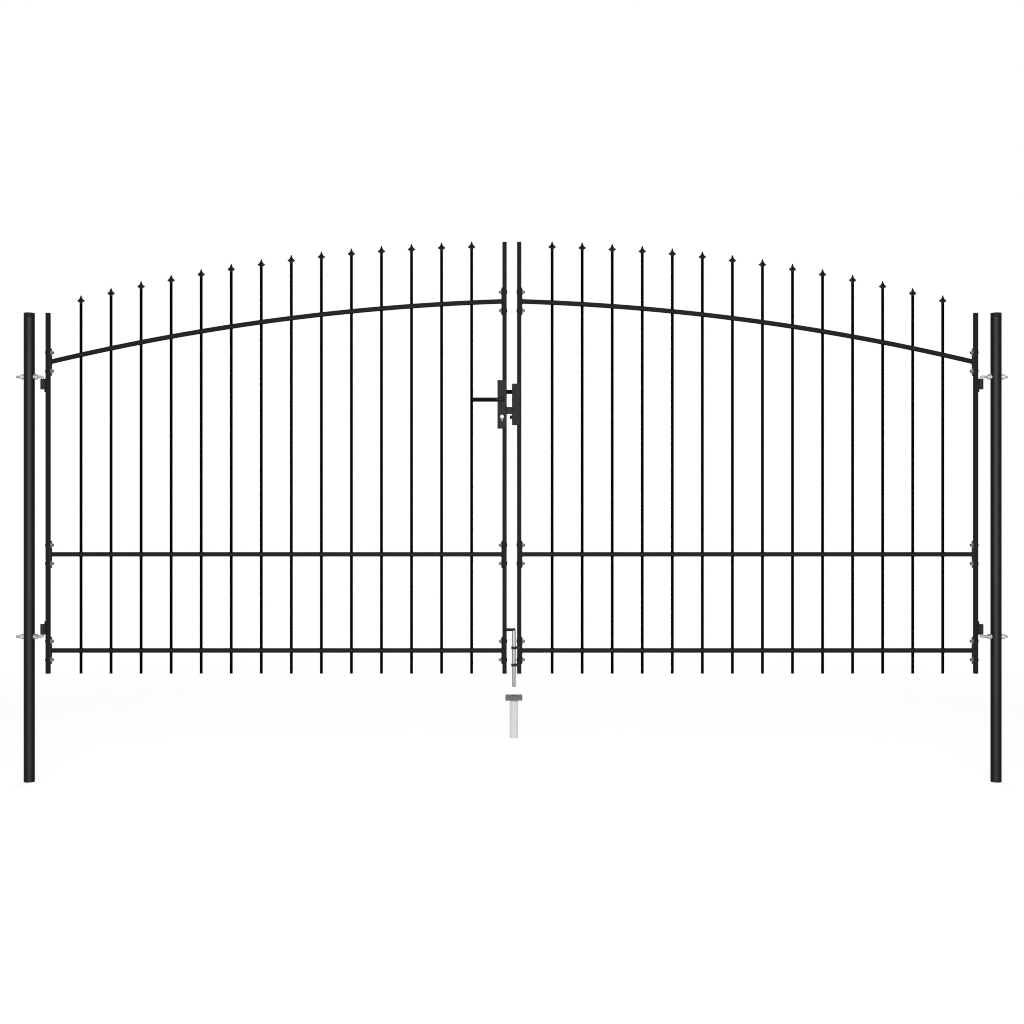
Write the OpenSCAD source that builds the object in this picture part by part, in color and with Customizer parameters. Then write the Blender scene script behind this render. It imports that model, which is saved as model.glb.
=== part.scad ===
// Double-leaf driveway gate in black powder-coated steel tube: two round posts, two leaves
// with an arched top rail and spear-topped pickets, hook-bolt hinges, a lever lock with its
// keep, and a drop bolt above a ground socket.
// Millimetres. The origin is the centre of the left post's foot; +X runs to the right post,
// -Y faces the front, +Z is up.

/* [Overall] */
// distance between the axes of the two posts
post_spacing = 4022; // [3600:1:4400]
// sideways offset of both leaves from the middle between the posts
leaf_shift = -3.2; // [-6:0.1:6]
// height of a post's top above the end of the arched rail
post_rise = 203.7; // [180:0.1:230]
// height of the leaves' lower ends above the posts' feet
leaf_bottom = 450; // [350:1:550]

/* [Posts] */
// outside diameter of a post
post_diameter = 45; // [40:0.5:50]
// wall of a post
post_wall = 2; // [1.5:0.1:4]
// height of a post cap above the tube
post_cap_head = 17; // [12:0.5:22]
// depth of a post cap's plug inside the tube
post_cap_plug = 20; // [15:0.5:30]
// radial clearance of the plug in the tube
post_cap_clearance = 0.2; // [0.1:0.05:0.3]
// radius of the post cap's upper edge
post_cap_edge = 2; // [1:0.1:3]

/* [Leaf frame] */
// side of the square tube that the frames are made of
tube_side = 18; // [16:0.5:22]
// wall of the square tube
tube_wall = 1.5; // [1:0.1:2]
// outside corner radius of the square tube
tube_corner = 1.5; // [1:0.1:2]
// clear gap between the two meeting stiles
meeting_gap = 43; // [40:0.5:50]
// thickness of a stile cap above the tube
stile_cap_top = 3; // [2:0.5:5]
// depth of the meeting stiles' tops below the crown of the points' arc
meeting_stile_drop = 5; // [0:0.5:10]
// depth of a stile cap's plug inside the tube
stile_cap_plug = 14; // [8:1:25]

/* [Infill] */
// diameter of a picket
picket_diameter = 12; // [10:0.5:13]
// wall of a picket
picket_wall = 1; // [0.8:0.1:1.5]
// radial clearance of a picket in the rails' holes
picket_clearance = 0.2; // [0.1:0.05:0.3]
// number of pickets in a leaf
picket_count = 14; // [10:1:16]
// distance from a stile to the axis of the nearest picket
end_bay = 128; // [110:0.5:145]
// height of the bottom rail's axis above the leaf's lower end
bottom_rail_rise = 96; // [80:1:110]
// distance between the bottom and middle rails
rail_spacing = 400; // [350:1:450]
// height of the arched rail's crown above the middle rail
arch_rise = 1057; // [950:1:1150]
// radius of the arched rail's axis
arch_radius = 9450; // [9000:10:10000]
// distance of the arch's crown past the middle of the gate
arch_past_middle = 267; // [240:1:290]
// height of the spear points' arc above the arch at their crowns
point_rise = 247; // [220:1:280]
// radius of the arc on which the spear points lie
point_arc_radius = 7225; // [7000:5:7500]

/* [Spear tips] */
// height of a spear tip above its picket
spear_height = 34.5; // [30:0.5:40]
// reach of a barb from the picket's axis
spear_reach = 16; // [14:0.5:18]
// thickness of a spear tip's blades
spear_blade = 5; // [4:0.5:6]
// depth of a spear tip's spigot inside its picket
spear_spigot = 12; // [10:0.5:16]

/* [Rail ends] */
// height of a rail-end plate
flange_height = 113; // [105:1:120]
// front-to-back width of a rail-end plate
flange_width = 25; // [22:0.5:28]
// thickness of a rail-end plate
flange_thickness = 4; // [3:0.5:5]
// distance between the two bolts of a rail end
frame_bolt_spacing = 77; // [72:0.5:82]
// diameter of a frame bolt
frame_bolt_diameter = 8; // [6:0.5:8]
// radial clearance of a frame bolt in its holes
frame_bolt_clearance = 0.25; // [0.2:0.05:0.4]
// diameter of a frame bolt's domed head
frame_head_diameter = 18; // [16:0.5:18]
// height of a frame bolt's domed head
frame_head_height = 2.5; // [2:0.1:4]
// length of a frame bolt past its nut
frame_bolt_end = 3; // [2:0.5:5]
// width of a frame nut across its flats
frame_nut_width = 13; // [11:0.5:13]
// height of a frame nut
frame_nut_height = 6.5; // [5:0.1:8]
// diameter of a frame washer
frame_washer_diameter = 24; // [20:0.5:25]
// thickness of a frame washer
frame_washer_thickness = 1.6; // [1:0.1:2]

/* [Hinges] */
// distance from the left post's face to the axis of its hinge pins
hinge_distance = 33.8; // [30:0.1:40]
// diameter of a hook bolt
hook_diameter = 12; // [10:0.5:12]
// radial clearance of the pin in its sleeve and of the bolt in the post
hook_clearance = 0.3; // [0.2:0.05:0.4]
// radius of the hook bolt's bend at its axis
hook_bend = 8; // [7.5:0.1:9]
// length of a left hook bolt past the post's far side
hook_end = 31.7; // [27:0.1:37]
// length of the hook bolt's straight pin
hook_pin = 40; // [36:0.5:42]
// distance of the upper hook bolt below the arched rail's end
upper_hook_drop = 62.3; // [58:0.1:70]
// height of the lower hook bolt above the bottom rail's axis
lower_hook_rise = 58; // [54:0.5:66]
// outside diameter of a hinge sleeve
sleeve_diameter = 20; // [18:0.5:21]
// height of a hinge sleeve
sleeve_height = 43; // [40:0.5:46]
// gap between a sleeve and the bend of its hook bolt
sleeve_gap = 0.5; // [0.4:0.1:1]
// thickness of the pad between a sleeve and the stile
pad_thickness = 4; // [3:0.5:5]
// length of the pad past the end of the sleeve
pad_overrun = 12; // [8:0.5:16]
// depth of the weld between sleeve and pad
sleeve_weld = 1; // [0.8:0.1:1.2]
// width of a hook bolt's nut across its flats
hook_nut_width = 19; // [18:0.5:21]
// height of a hook bolt's nut
hook_nut_height = 10.8; // [9:0.1:12]
// diameter of a hook bolt's washer
hook_washer_diameter = 24; // [22:0.5:26]
// thickness of a hook bolt's washer
hook_washer_thickness = 2.5; // [2:0.1:3]

/* [Lock] */
// width of the lock case
lock_width = 38.5; // [36:0.5:42]
// height of the lock case
lock_height = 200; // [190:1:210]
// front-to-back depth of the lock case
lock_depth = 30; // [27:0.5:34]
// corner radius of the lock case
lock_corner = 3; // [2:0.1:4]
// height of the lock case's middle above the middle rail's axis
lock_rise = 623.5; // [580:0.5:660]
// wall behind the pockets of the lock case
lock_wall = 3.5; // [3:0.1:5]
// thickness of a lock cover plate
cover_thickness = 3; // [2:0.5:4]
// margin of the lock case around a cover plate
cover_margin = 2; // [1.5:0.1:3]
// height of the lever's axis above the lock's middle
lever_rise = 20; // [16:0.5:24]
// distance of the lever's axis from the lock's leading face
lever_backset = 19.5; // [18:0.5:21]
// reach of the lever from its axis
lever_reach = 126; // [115:1:130]
// diameter of the lever's arm
lever_diameter = 12; // [10:0.5:14]
// diameter of the lever's neck
lever_neck = 18; // [17.5:0.5:20]
// distance of the lever's arm from the middle plane of the leaf
lever_stand_off = 36; // [34:1:46]
// gap between the lever's neck and the cover plate
lever_gap = 0.6; // [0.5:0.1:1]
// side of the square spindle
spindle_side = 8; // [7:0.5:8]
// length of the spindle inside each lever
spindle_hold = 14; // [12:0.5:16]
// clearance around the spindle's corners in the lock
spindle_clearance = 0.35; // [0.3:0.05:0.6]
// wall between the dead bolt's pocket and the key cylinder
cylinder_gap = 3; // [2:0.1:5]
// diameter of the key cylinder's head
cylinder_diameter = 17; // [16.5:0.1:17.5]
// width of the key cylinder's tail
cylinder_tail = 10; // [9.5:0.1:10.5]
// overall height of the key cylinder
cylinder_height = 33; // [32:0.1:33.5]
// length of the key cylinder past a cover plate
cylinder_proud = 2; // [1:0.5:3]
// height of the latch bolt's axis above the lock's middle
latch_rise = 52; // [50:0.5:56]
// height of the latch bolt
latch_height = 16; // [14:0.5:18]
// length of the latch bolt
latch_length = 52; // [48:0.5:54]
// gap between the latch bolt's tip and the other meeting stile
latch_tip_gap = 9.5; // [8.5:0.1:11]
// distance of the dead bolt's axis below the lock's middle
dead_bolt_drop = 25.5; // [24:0.5:27]
// height of the dead bolt
dead_bolt_height = 29; // [26:0.5:31]
// length of the dead bolt
dead_bolt_length = 51; // [48:0.5:52]
// gap between the dead bolt's tip and the other meeting stile
dead_bolt_tip_gap = 7.5; // [6.5:0.1:9]
// thickness of both lock bolts
lock_bolt_thickness = 12; // [10:0.5:13]
// clearance around a lock bolt in the case
lock_bolt_clearance = 0.5; // [0.4:0.1:0.8]
// diameter of a cover screw's head
screw_head_diameter = 5.6; // [5:0.1:6]
// height of a cover screw's head
screw_head_height = 1.6; // [1:0.1:2.5]
// diameter of a cover screw
screw_diameter = 3; // [2.5:0.1:3.5]
// length of a cover screw under its head
screw_length = 12; // [10:0.5:14]
// radial clearance of a cover screw in its holes
screw_clearance = 0.15; // [0.1:0.05:0.25]
// distance of a cover screw from the cover's edges
screw_inset = 3.2; // [3:0.1:4]

/* [Keep] */
// height of the keep
keep_height = 171.5; // [165:0.5:178]
// distance of the keep's leading face from its stile
keep_stand = 20.9; // [19:0.1:22]
// width of the stile left bare beside the keep
keep_margin = 6.4; // [5:0.1:8]
// thickness of the keep's plate
keep_plate = 3; // [2.5:0.1:4]
// outside radius of the keep's bends
keep_bend = 4.5; // [4:0.1:6]
// clearance beside a bolt in its slot
keep_side_clearance = 0.4; // [0.3:0.05:0.6]
// clearance above and below a bolt in its slot
keep_slot_clearance = 3; // [2:0.5:4]
// distance of the buffer below the lock's middle
buffer_drop = 53; // [48:0.5:58]
// diameter of the buffer
buffer_diameter = 15.5; // [13:0.5:17]
// length of the buffer
buffer_length = 9.5; // [8:0.5:11]

/* [Drop bolt] */
// diameter of the drop bolt's rod
drop_diameter = 16; // [14:0.5:16.5]
// distance of the rod's axis from its stile's inner face
drop_clear = 13.2; // [12.5:0.1:14]
// distance of the rod's axis from its stile's front face
drop_stand = 12; // [11.5:0.1:14]
// length of the raised rod below the leaf
drop_reach = 52; // [45:0.5:60]
// height of the raised grip's axis above the upper guide
grip_rise = 75; // [72:0.5:85]
// diameter of the grip
grip_diameter = 12.4; // [11:0.1:13]
// reach of the grip from the rod's axis to the left
grip_left = 38.3; // [34:0.1:42]
// reach of the grip from the rod's axis to the right
grip_right = 6.7; // [6:0.1:9]
// height of the rod's top below the grip's axis
grip_seat = 3; // [2:0.5:4]
// wall of a guide's eye
guide_wall = 2.6; // [2:0.1:4]
// height of a guide
guide_height = 11; // [9:0.5:13]
// radial clearance of the rod in its guides
guide_clearance = 0.4; // [0.3:0.05:0.6]
// thickness of a guide's tab
guide_tab = 4; // [3:0.5:5]
// width of a guide's tab on the stile
guide_lap = 11.5; // [9:0.5:15]
// height of the lower guide above the leaf's lower end
lower_guide_rise = 38; // [34:0.5:44]
// distance between the two guides
guide_spacing = 71; // [64:0.5:78]

/* [Ground socket] */
// side of the socket's square collar
collar_side = 70; // [64:1:76]
// corner radius of the collar
collar_corner = 4; // [3:0.5:8]
// thickness of the collar
collar_thickness = 17; // [14:0.5:20]
// depth of the collar's top below the leaf
collar_drop = 88.5; // [82:0.5:95]
// diameter of the collar's bore
socket_bore = 24; // [22:0.5:26]
// outside diameter of the socket's tube
socket_diameter = 35; // [33:0.5:38]
// wall of the socket's tube
socket_wall = 4; // [3:0.5:5]
// length of the socket's tube below the collar
socket_length = 158.5; // [140:0.5:180]

/* [Hidden] */

$fn = 64;
arc_facets = 1440;
hex_sides = 6;
quarter_turn = 90;
overcut = 1;

coat_black = [0.05, 0.05, 0.055];
plastic_black = [0.03, 0.03, 0.03];
zinc = [0.72, 0.73, 0.74];
galvanised = [0.66, 0.67, 0.68];
nickel = [0.82, 0.81, 0.78];
zinc_black = [0.12, 0.12, 0.125];
socket_grey = [0.3, 0.3, 0.31];
socket_pale = [0.8, 0.8, 0.8];

// right half of a spear tip, base to point: shares of its reach and of its height
spear_shares = [
    [0.37, 0], [0.4, 0.08], [0.52, 0.15], [0.8, 0.23], [1, 0.31], [0.92, 0.38],
    [0.7, 0.45], [0.46, 0.55], [0.32, 0.66], [0.25, 0.76], [0.16, 0.88], [0, 1],
];

middle = post_spacing / 2 + leaf_shift;
post_radius = post_diameter / 2;
half_tube = tube_side / 2;
hinge_x = post_radius + hinge_distance;
sleeve_face = sleeve_diameter / 2 - sleeve_weld;
hinge_stile_x = hinge_x + sleeve_face + pad_thickness + half_tube;
meeting_stile_face = middle - meeting_gap / 2;
meeting_stile_x = meeting_stile_face - half_tube;
panel_start = hinge_stile_x + half_tube;
panel_end = meeting_stile_face - tube_side;
rail_start = panel_start + flange_thickness;
rail_end = panel_end - flange_thickness;
picket_pitch = (panel_end - panel_start - 2 * end_bay) / (picket_count - 1);
picket_radius = picket_diameter / 2;
bottom_rail_height = leaf_bottom + bottom_rail_rise;
middle_rail_height = bottom_rail_height + rail_spacing;
arch_x = middle + arch_past_middle;
arch_crown = middle_rail_height + arch_rise;
point_arc_crown = arch_crown + point_rise;
meeting_stile_top = point_arc_crown - meeting_stile_drop;
hinge_rail_heights = [bottom_rail_height, middle_rail_height, arch_height(panel_start)];
meeting_rail_heights = [bottom_rail_height, middle_rail_height, arch_height(panel_end)];
post_top = arch_height(panel_start) + post_rise;
upper_hook_height = arch_height(panel_start) - upper_hook_drop;
lower_hook_height = bottom_rail_height + lower_hook_rise;
pin_bore = hook_diameter / 2 + hook_clearance;
lock_x = meeting_stile_face - lock_width / 2;
lock_middle = middle_rail_height + lock_rise;
lever_x = meeting_stile_face - lever_backset;
lever_height = lock_middle + lever_rise;
cover_face = lock_depth / 2 + cover_thickness;
spindle_hole = sqrt(2) * spindle_side + 2 * spindle_clearance;
latch_z = lock_middle + latch_rise;
dead_bolt_z = lock_middle - dead_bolt_drop;
cylinder_z = dead_bolt_z - dead_bolt_height / 2 - lock_bolt_clearance - cylinder_gap - cylinder_diameter / 2;
screw_x = lock_x - lock_width / 2 + cover_margin + screw_inset;
screw_rise = lock_height / 2 - cover_margin - screw_inset;
keep_face = middle + meeting_gap / 2;
keep_x = keep_face - keep_stand;
keep_width = keep_stand + tube_side - keep_margin;
drop_x = keep_face - drop_clear;
drop_y = -half_tube - drop_stand;
lower_guide_height = leaf_bottom + lower_guide_rise;
upper_guide_height = lower_guide_height + guide_spacing;
grip_height = upper_guide_height + grip_rise;
collar_top = leaf_bottom - collar_drop;
socket_top = collar_top - collar_thickness;
frame_grip_length = tube_side + flange_thickness;
frame_nut_stack = frame_washer_thickness + frame_nut_height;

function arch_height(x) = arch_crown - arch_radius + sqrt(pow(arch_radius, 2) - pow(x - arch_x, 2));
function point_height(x) =
    point_arc_crown - point_arc_radius + sqrt(pow(point_arc_radius, 2) - pow(x - middle, 2));
function picket_x(i) = panel_start + end_bay + i * picket_pitch;

// the same piece at the other post
module at_right_post() {
    translate([post_spacing, 0, 0])
        children();
}

// the same piece on the other leaf
module mirrored() {
    translate([2 * middle, 0, 0])
        mirror([1, 0, 0])
            children();
}

// a shape drawn along +Z laid along +X
module along_x() {
    rotate([0, quarter_turn, 0])
        children();
}

// an outline drawn in X and Y stood up in X and Z, centred front to back
module upright(thickness) {
    rotate([quarter_turn, 0, 0])
        linear_extrude(height = thickness, center = true)
            children();
}

module round_square(w, h, corner) {
    square([w - 2 * corner, h], center = true);
    square([w, h - 2 * corner], center = true);
    for (sx = [-1, 1], sy = [-1, 1])
        translate([sx * (w / 2 - corner), sy * (h / 2 - corner)])
            circle(corner);
}

module tube_section() {
    difference() {
        round_square(tube_side, tube_side, tube_corner);
        square(tube_side - 2 * tube_wall, center = true);
    }
}

module box_tube(length) {
    linear_extrude(height = length)
        tube_section();
}

// half the section of a bar with a half-sphere end, for turning about its axis
module round_end_half(radius, length) {
    square([radius, length - radius]);
    intersection() {
        translate([0, length - radius])
            circle(radius);
        square([radius, length]);
    }
}

// half the outline of a low dome, for turning about its axis
module dome_half(radius, height) {
    dome_radius = (pow(radius, 2) + pow(height, 2)) / (2 * height);
    intersection() {
        translate([0, height - dome_radius])
            circle(dome_radius);
        square([radius, height]);
    }
}

module hex_nut(width, height) {
    cylinder(d = width / cos(180 / hex_sides), h = height, $fn = hex_sides);
}

// the two bolt positions at each rail end, for pieces drawn along +X
module at_rail_ends(x, heights) {
    for (z = heights, side = [-1, 1])
        translate([x, 0, z + side * frame_bolt_spacing / 2])
            children();
}

module frame_holes(x, heights) {
    at_rail_ends(x, heights)
        along_x()
            cylinder(r = frame_bolt_diameter / 2 + frame_bolt_clearance,
                h = 2 * frame_grip_length, center = true);
}

module post() {
    tube_top = post_top - post_cap_head;
    difference() {
        cylinder(d = post_diameter, h = tube_top);
        translate([0, 0, -overcut])
            cylinder(d = post_diameter - 2 * post_wall, h = tube_top + 2 * overcut);
        for (z = [upper_hook_height, lower_hook_height])
            translate([0, 0, z])
                along_x()
                    cylinder(r = pin_bore, h = 2 * post_diameter, center = true);
    }
}

module post_cap() {
    seat = post_top - post_cap_head;
    plug_radius = post_radius - post_wall - post_cap_clearance;
    translate([0, 0, seat]) {
        rotate_extrude() {
            square([post_radius, post_cap_head - post_cap_edge]);
            square([post_radius - post_cap_edge, post_cap_head]);
            intersection() {
                translate([post_radius - post_cap_edge, post_cap_head - post_cap_edge])
                    circle(post_cap_edge);
                square([post_radius, post_cap_head]);
            }
        }
        translate([0, 0, -post_cap_plug])
            cylinder(r = plug_radius, h = post_cap_plug);
    }
}

// a bolt through the post whose end bends down into the hinge's pin
module hook_bolt() {
    shank_start = -post_radius - hook_end;
    shank_end = hinge_x - hook_bend;
    translate([shank_start, 0, 0])
        along_x()
            cylinder(d = hook_diameter, h = shank_end - shank_start);
    translate([shank_end, 0, -hook_bend])
        rotate([quarter_turn, 0, 0])
            rotate_extrude(angle = quarter_turn)
                translate([hook_bend, 0])
                    circle(d = hook_diameter);
    translate([hinge_x, 0, -hook_bend - hook_pin])
        cylinder(d = hook_diameter, h = hook_pin);
}

module upper_hook_bolt() {
    translate([0, 0, upper_hook_height])
        hook_bolt();
}

module lower_hook_bolt() {
    translate([0, 0, lower_hook_height])
        mirror([0, 0, 1])
            hook_bolt();
}

module hook_nuts() {
    for (z = [upper_hook_height, lower_hook_height], side = [-1, 1])
        translate([side * post_radius, 0, z])
            rotate([0, side * quarter_turn, 0])
                difference() {
                    union() {
                        cylinder(d = hook_washer_diameter, h = hook_washer_thickness);
                        translate([0, 0, hook_washer_thickness])
                            hex_nut(hook_nut_width, hook_nut_height);
                    }
                    translate([0, 0, -overcut])
                        cylinder(r = pin_bore, h = 2 * hook_nut_height);
                }
}

module ground_socket_collar() {
    color(socket_grey)
        translate([drop_x, drop_y, socket_top])
            linear_extrude(height = collar_thickness)
                difference() {
                    round_square(collar_side, collar_side, collar_corner);
                    circle(d = socket_bore);
                }
}

module ground_socket_tube() {
    color(socket_pale)
        translate([drop_x, drop_y, socket_top - socket_length])
            difference() {
                cylinder(d = socket_diameter, h = socket_length);
                translate([0, 0, -overcut])
                    cylinder(d = socket_diameter - 2 * socket_wall, h = socket_length + 2 * overcut);
            }
}

module hinge_stile() {
    difference() {
        translate([hinge_stile_x, 0, leaf_bottom])
            box_tube(post_top - stile_cap_top - leaf_bottom);
        frame_holes(hinge_stile_x, hinge_rail_heights);
    }
}

module meeting_stile() {
    difference() {
        translate([meeting_stile_x, 0, leaf_bottom])
            box_tube(meeting_stile_top - stile_cap_top - leaf_bottom);
        frame_holes(meeting_stile_x, meeting_rail_heights);
    }
}

module stile_cap(x, top) {
    translate([x, 0, top - stile_cap_top])
        linear_extrude(height = stile_cap_top)
            round_square(tube_side, tube_side, tube_corner);
    translate([x, 0, top - stile_cap_top - stile_cap_plug])
        linear_extrude(height = stile_cap_plug)
            square(tube_side - 2 * tube_wall, center = true);
}

module stile_caps() {
    stile_cap(hinge_stile_x, post_top);
    stile_cap(meeting_stile_x, meeting_stile_top);
}

// a sleeve on its weld pad, for a pin that points down from the origin
module hinge_sleeve() {
    sleeve_top = -hook_bend - sleeve_gap;
    pad_height = sleeve_height + pad_overrun;
    difference() {
        union() {
            translate([0, 0, sleeve_top - sleeve_height])
                cylinder(d = sleeve_diameter, h = sleeve_height);
            translate([sleeve_face, -half_tube, sleeve_top - pad_height])
                cube([pad_thickness, tube_side, pad_height]);
        }
        translate([0, 0, sleeve_top - sleeve_height - overcut])
            cylinder(r = pin_bore, h = sleeve_height + 2 * overcut);
    }
}

module upper_sleeve() {
    translate([hinge_x, 0, upper_hook_height])
        hinge_sleeve();
}

module lower_sleeve() {
    translate([hinge_x, 0, lower_hook_height])
        mirror([0, 0, 1])
            hinge_sleeve();
}

// the pickets' holes through a rail
module picket_holes() {
    for (i = [0 : picket_count - 1])
        translate([picket_x(i), 0, leaf_bottom])
            cylinder(r = picket_radius + picket_clearance, h = point_arc_crown - leaf_bottom);
}

module straight_rail(height) {
    difference() {
        translate([rail_start, 0, height])
            along_x()
                box_tube(rail_end - rail_start);
        picket_holes();
    }
}

// the tube's section turned about the arch's centre and cut upright at both ends
module arched_rail() {
    first_angle = acos((panel_end - arch_x) / arch_radius);
    last_angle = acos((panel_start - arch_x) / arch_radius);
    low = arch_height(panel_start) - tube_side;
    difference() {
        intersection() {
            translate([arch_x, 0, arch_crown - arch_radius])
                rotate([quarter_turn, 0, 0])
                    rotate([0, 0, first_angle])
                        rotate_extrude(angle = last_angle - first_angle, $fn = arc_facets)
                            translate([arch_radius, 0])
                                tube_section();
            translate([rail_start, -tube_side, low])
                cube([rail_end - rail_start, 2 * tube_side, arch_crown + tube_side - low]);
        }
        picket_holes();
    }
}

// one bolted plate on each rail end
module rail_plates() {
    difference() {
        union() {
            rail_end_plates(panel_start, hinge_rail_heights);
            rail_end_plates(rail_end, meeting_rail_heights);
        }
        frame_holes(panel_start, hinge_rail_heights);
        frame_holes(panel_end, meeting_rail_heights);
    }
}

module rail_end_plates(x, heights) {
    for (z = heights)
        translate([x, -flange_width / 2, z - flange_height / 2])
            cube([flange_thickness, flange_width, flange_height]);
}

module pickets() {
    for (i = [0 : picket_count - 1])
        translate([picket_x(i), 0, leaf_bottom])
            linear_extrude(height = point_height(picket_x(i)) - spear_height - leaf_bottom)
                difference() {
                    circle(picket_radius);
                    circle(picket_radius - picket_wall);
                }
}

module spear_tip() {
    right_side = [for (p = spear_shares) [p[0] * spear_reach, p[1] * spear_height]];
    last = len(right_side) - 1;
    left_side = [for (i = [last - 1 : -1 : 0]) [-right_side[i][0], right_side[i][1]]];
    for (turn = [0, quarter_turn])
        rotate([0, 0, turn])
            upright(spear_blade)
                polygon(concat(right_side, left_side));
    translate([0, 0, -spear_spigot])
        cylinder(r = picket_radius - picket_wall - picket_clearance, h = spear_spigot);
}

module spear_tips() {
    for (i = [0 : picket_count - 1])
        translate([picket_x(i), 0, point_height(picket_x(i)) - spear_height])
            spear_tip();
}

// a domed-head bolt along +X, its head resting on the plane of the origin
module frame_bolt() {
    along_x()
        cylinder(d = frame_bolt_diameter, h = frame_grip_length + frame_nut_stack + frame_bolt_end);
    rotate([0, -quarter_turn, 0])
        rotate_extrude()
            dome_half(frame_head_diameter / 2, frame_head_height);
}

// a washer and nut along +X on the plane of the origin
module frame_nut() {
    along_x()
        difference() {
            union() {
                cylinder(d = frame_washer_diameter, h = frame_washer_thickness);
                translate([0, 0, frame_washer_thickness])
                    hex_nut(frame_nut_width, frame_nut_height);
            }
            translate([0, 0, -overcut])
                cylinder(r = frame_bolt_diameter / 2 + frame_bolt_clearance,
                    h = 2 * frame_nut_stack);
        }
}

module frame_bolts() {
    at_rail_ends(hinge_stile_x - half_tube, hinge_rail_heights)
        frame_bolt();
    at_rail_ends(meeting_stile_face, meeting_rail_heights)
        mirror([1, 0, 0])
            frame_bolt();
}

module frame_nuts() {
    at_rail_ends(rail_start, hinge_rail_heights)
        frame_nut();
    at_rail_ends(rail_end, meeting_rail_heights)
        mirror([1, 0, 0])
            frame_nut();
}

// the key cylinder's outline: a round head over a narrow tail with a round end
module cylinder_outline() {
    tail_end = cylinder_diameter / 2 - cylinder_height + cylinder_tail / 2;
    circle(d = cylinder_diameter);
    translate([-cylinder_tail / 2, tail_end])
        square([cylinder_tail, -tail_end]);
    translate([0, tail_end])
        circle(d = cylinder_tail);
}

module lock_pocket(z, height) {
    across = lock_bolt_thickness + 2 * lock_bolt_clearance;
    tall = height + 2 * lock_bolt_clearance;
    deep = lock_width - lock_wall;
    translate([meeting_stile_face - deep, -across / 2, z - tall / 2])
        cube([deep + overcut, across, tall]);
}

// the two screw positions of the front cover, for pieces drawn along +Y from its face
module at_cover_screws() {
    for (side = [-1, 1])
        translate([screw_x, -cover_face, lock_middle + side * screw_rise])
            rotate([-quarter_turn, 0, 0])
                children();
}

module cover_screw_holes() {
    at_cover_screws()
        translate([0, 0, -overcut])
            cylinder(r = screw_diameter / 2 + screw_clearance, h = screw_length + 2 * overcut);
}

module lock_case() {
    color(coat_black)
        difference() {
            translate([lock_x, 0, lock_middle - lock_height / 2])
                linear_extrude(height = lock_height)
                    round_square(lock_width, lock_depth, lock_corner);
            lock_pocket(latch_z, latch_height);
            lock_pocket(dead_bolt_z, dead_bolt_height);
            translate([lever_x, 0, lever_height])
                upright(2 * lock_depth)
                    circle(d = spindle_hole);
            translate([lever_x, 0, cylinder_z])
                upright(2 * lock_depth)
                    cylinder_outline();
            for (side = [0, 1])
                mirror([0, side, 0])
                    cover_screw_holes();
        }
}

module lock_cover() {
    difference() {
        translate([0, -lock_depth / 2 - cover_thickness / 2, 0])
            upright(cover_thickness)
                difference() {
                    translate([lock_x, lock_middle])
                        round_square(lock_width - 2 * cover_margin, lock_height - 2 * cover_margin,
                            lock_corner);
                    translate([lever_x, lever_height])
                        circle(d = spindle_hole);
                    translate([lever_x, cylinder_z])
                        cylinder_outline();
                }
        cover_screw_holes();
    }
}

module cover_screws() {
    at_cover_screws() {
        cylinder(d = screw_diameter, h = screw_length);
        mirror([0, 0, 1])
            rotate_extrude()
                dome_half(screw_head_diameter / 2, screw_head_height);
    }
}

module lock_screws() {
    color(zinc_black)
        for (side = [0, 1])
            mirror([0, side, 0])
                cover_screws();
}

module key_cylinder() {
    color(nickel)
        translate([lever_x, 0, cylinder_z])
            upright(2 * (cover_face + cylinder_proud))
                cylinder_outline();
}

// a neck out of the cover plate and an arm towards the hinge side, both with round ends
module lever() {
    neck_start = cover_face + lever_gap;
    neck_radius = lever_neck / 2;
    translate([lever_x, 0, lever_height])
        difference() {
            union() {
                translate([0, -neck_start, 0])
                    rotate([quarter_turn, 0, 0])
                        rotate_extrude()
                            round_end_half(neck_radius, lever_stand_off - neck_start + neck_radius);
                translate([0, -lever_stand_off, 0])
                    rotate([0, -quarter_turn, 0])
                        rotate_extrude()
                            round_end_half(lever_diameter / 2, lever_reach);
            }
            translate([-spindle_side / 2, -neck_start - spindle_hold, -spindle_side / 2])
                cube([spindle_side, spindle_hold + overcut, spindle_side]);
        }
}

module lever_spindle() {
    half_length = cover_face + lever_gap + spindle_hold;
    color(zinc)
        translate([lever_x - spindle_side / 2, -half_length, lever_height - spindle_side / 2])
            cube([spindle_side, 2 * half_length, spindle_side]);
}

module latch_bolt() {
    tip = keep_face - latch_tip_gap;
    half = lock_bolt_thickness / 2;
    color(zinc_black)
        translate([0, 0, latch_z - latch_height / 2])
            linear_extrude(height = latch_height)
                polygon([
                    [tip - latch_length, -half],
                    [tip - lock_bolt_thickness, -half],
                    [tip, half],
                    [tip - latch_length, half],
                ]);
}

module dead_bolt() {
    tip = keep_face - dead_bolt_tip_gap;
    color(zinc_black)
        translate([tip - dead_bolt_length, -lock_bolt_thickness / 2, dead_bolt_z - dead_bolt_height / 2])
            cube([dead_bolt_length, lock_bolt_thickness, dead_bolt_height]);
}

module keep_slot(z, height) {
    across = lock_bolt_thickness + 2 * keep_side_clearance;
    tall = height + 2 * keep_slot_clearance;
    translate([keep_x - overcut, -across / 2, z - tall / 2])
        cube([keep_plate + 2 * overcut, across, tall]);
}

// the plan of a folded plate's outside or inside, open towards its stile's far side
module keep_plan(start, across, bend) {
    intersection() {
        translate([start + keep_width, 0])
            round_square(2 * keep_width, across, bend);
        translate([start, -across / 2])
            square([keep_x + keep_width - start, across]);
    }
}

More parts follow.
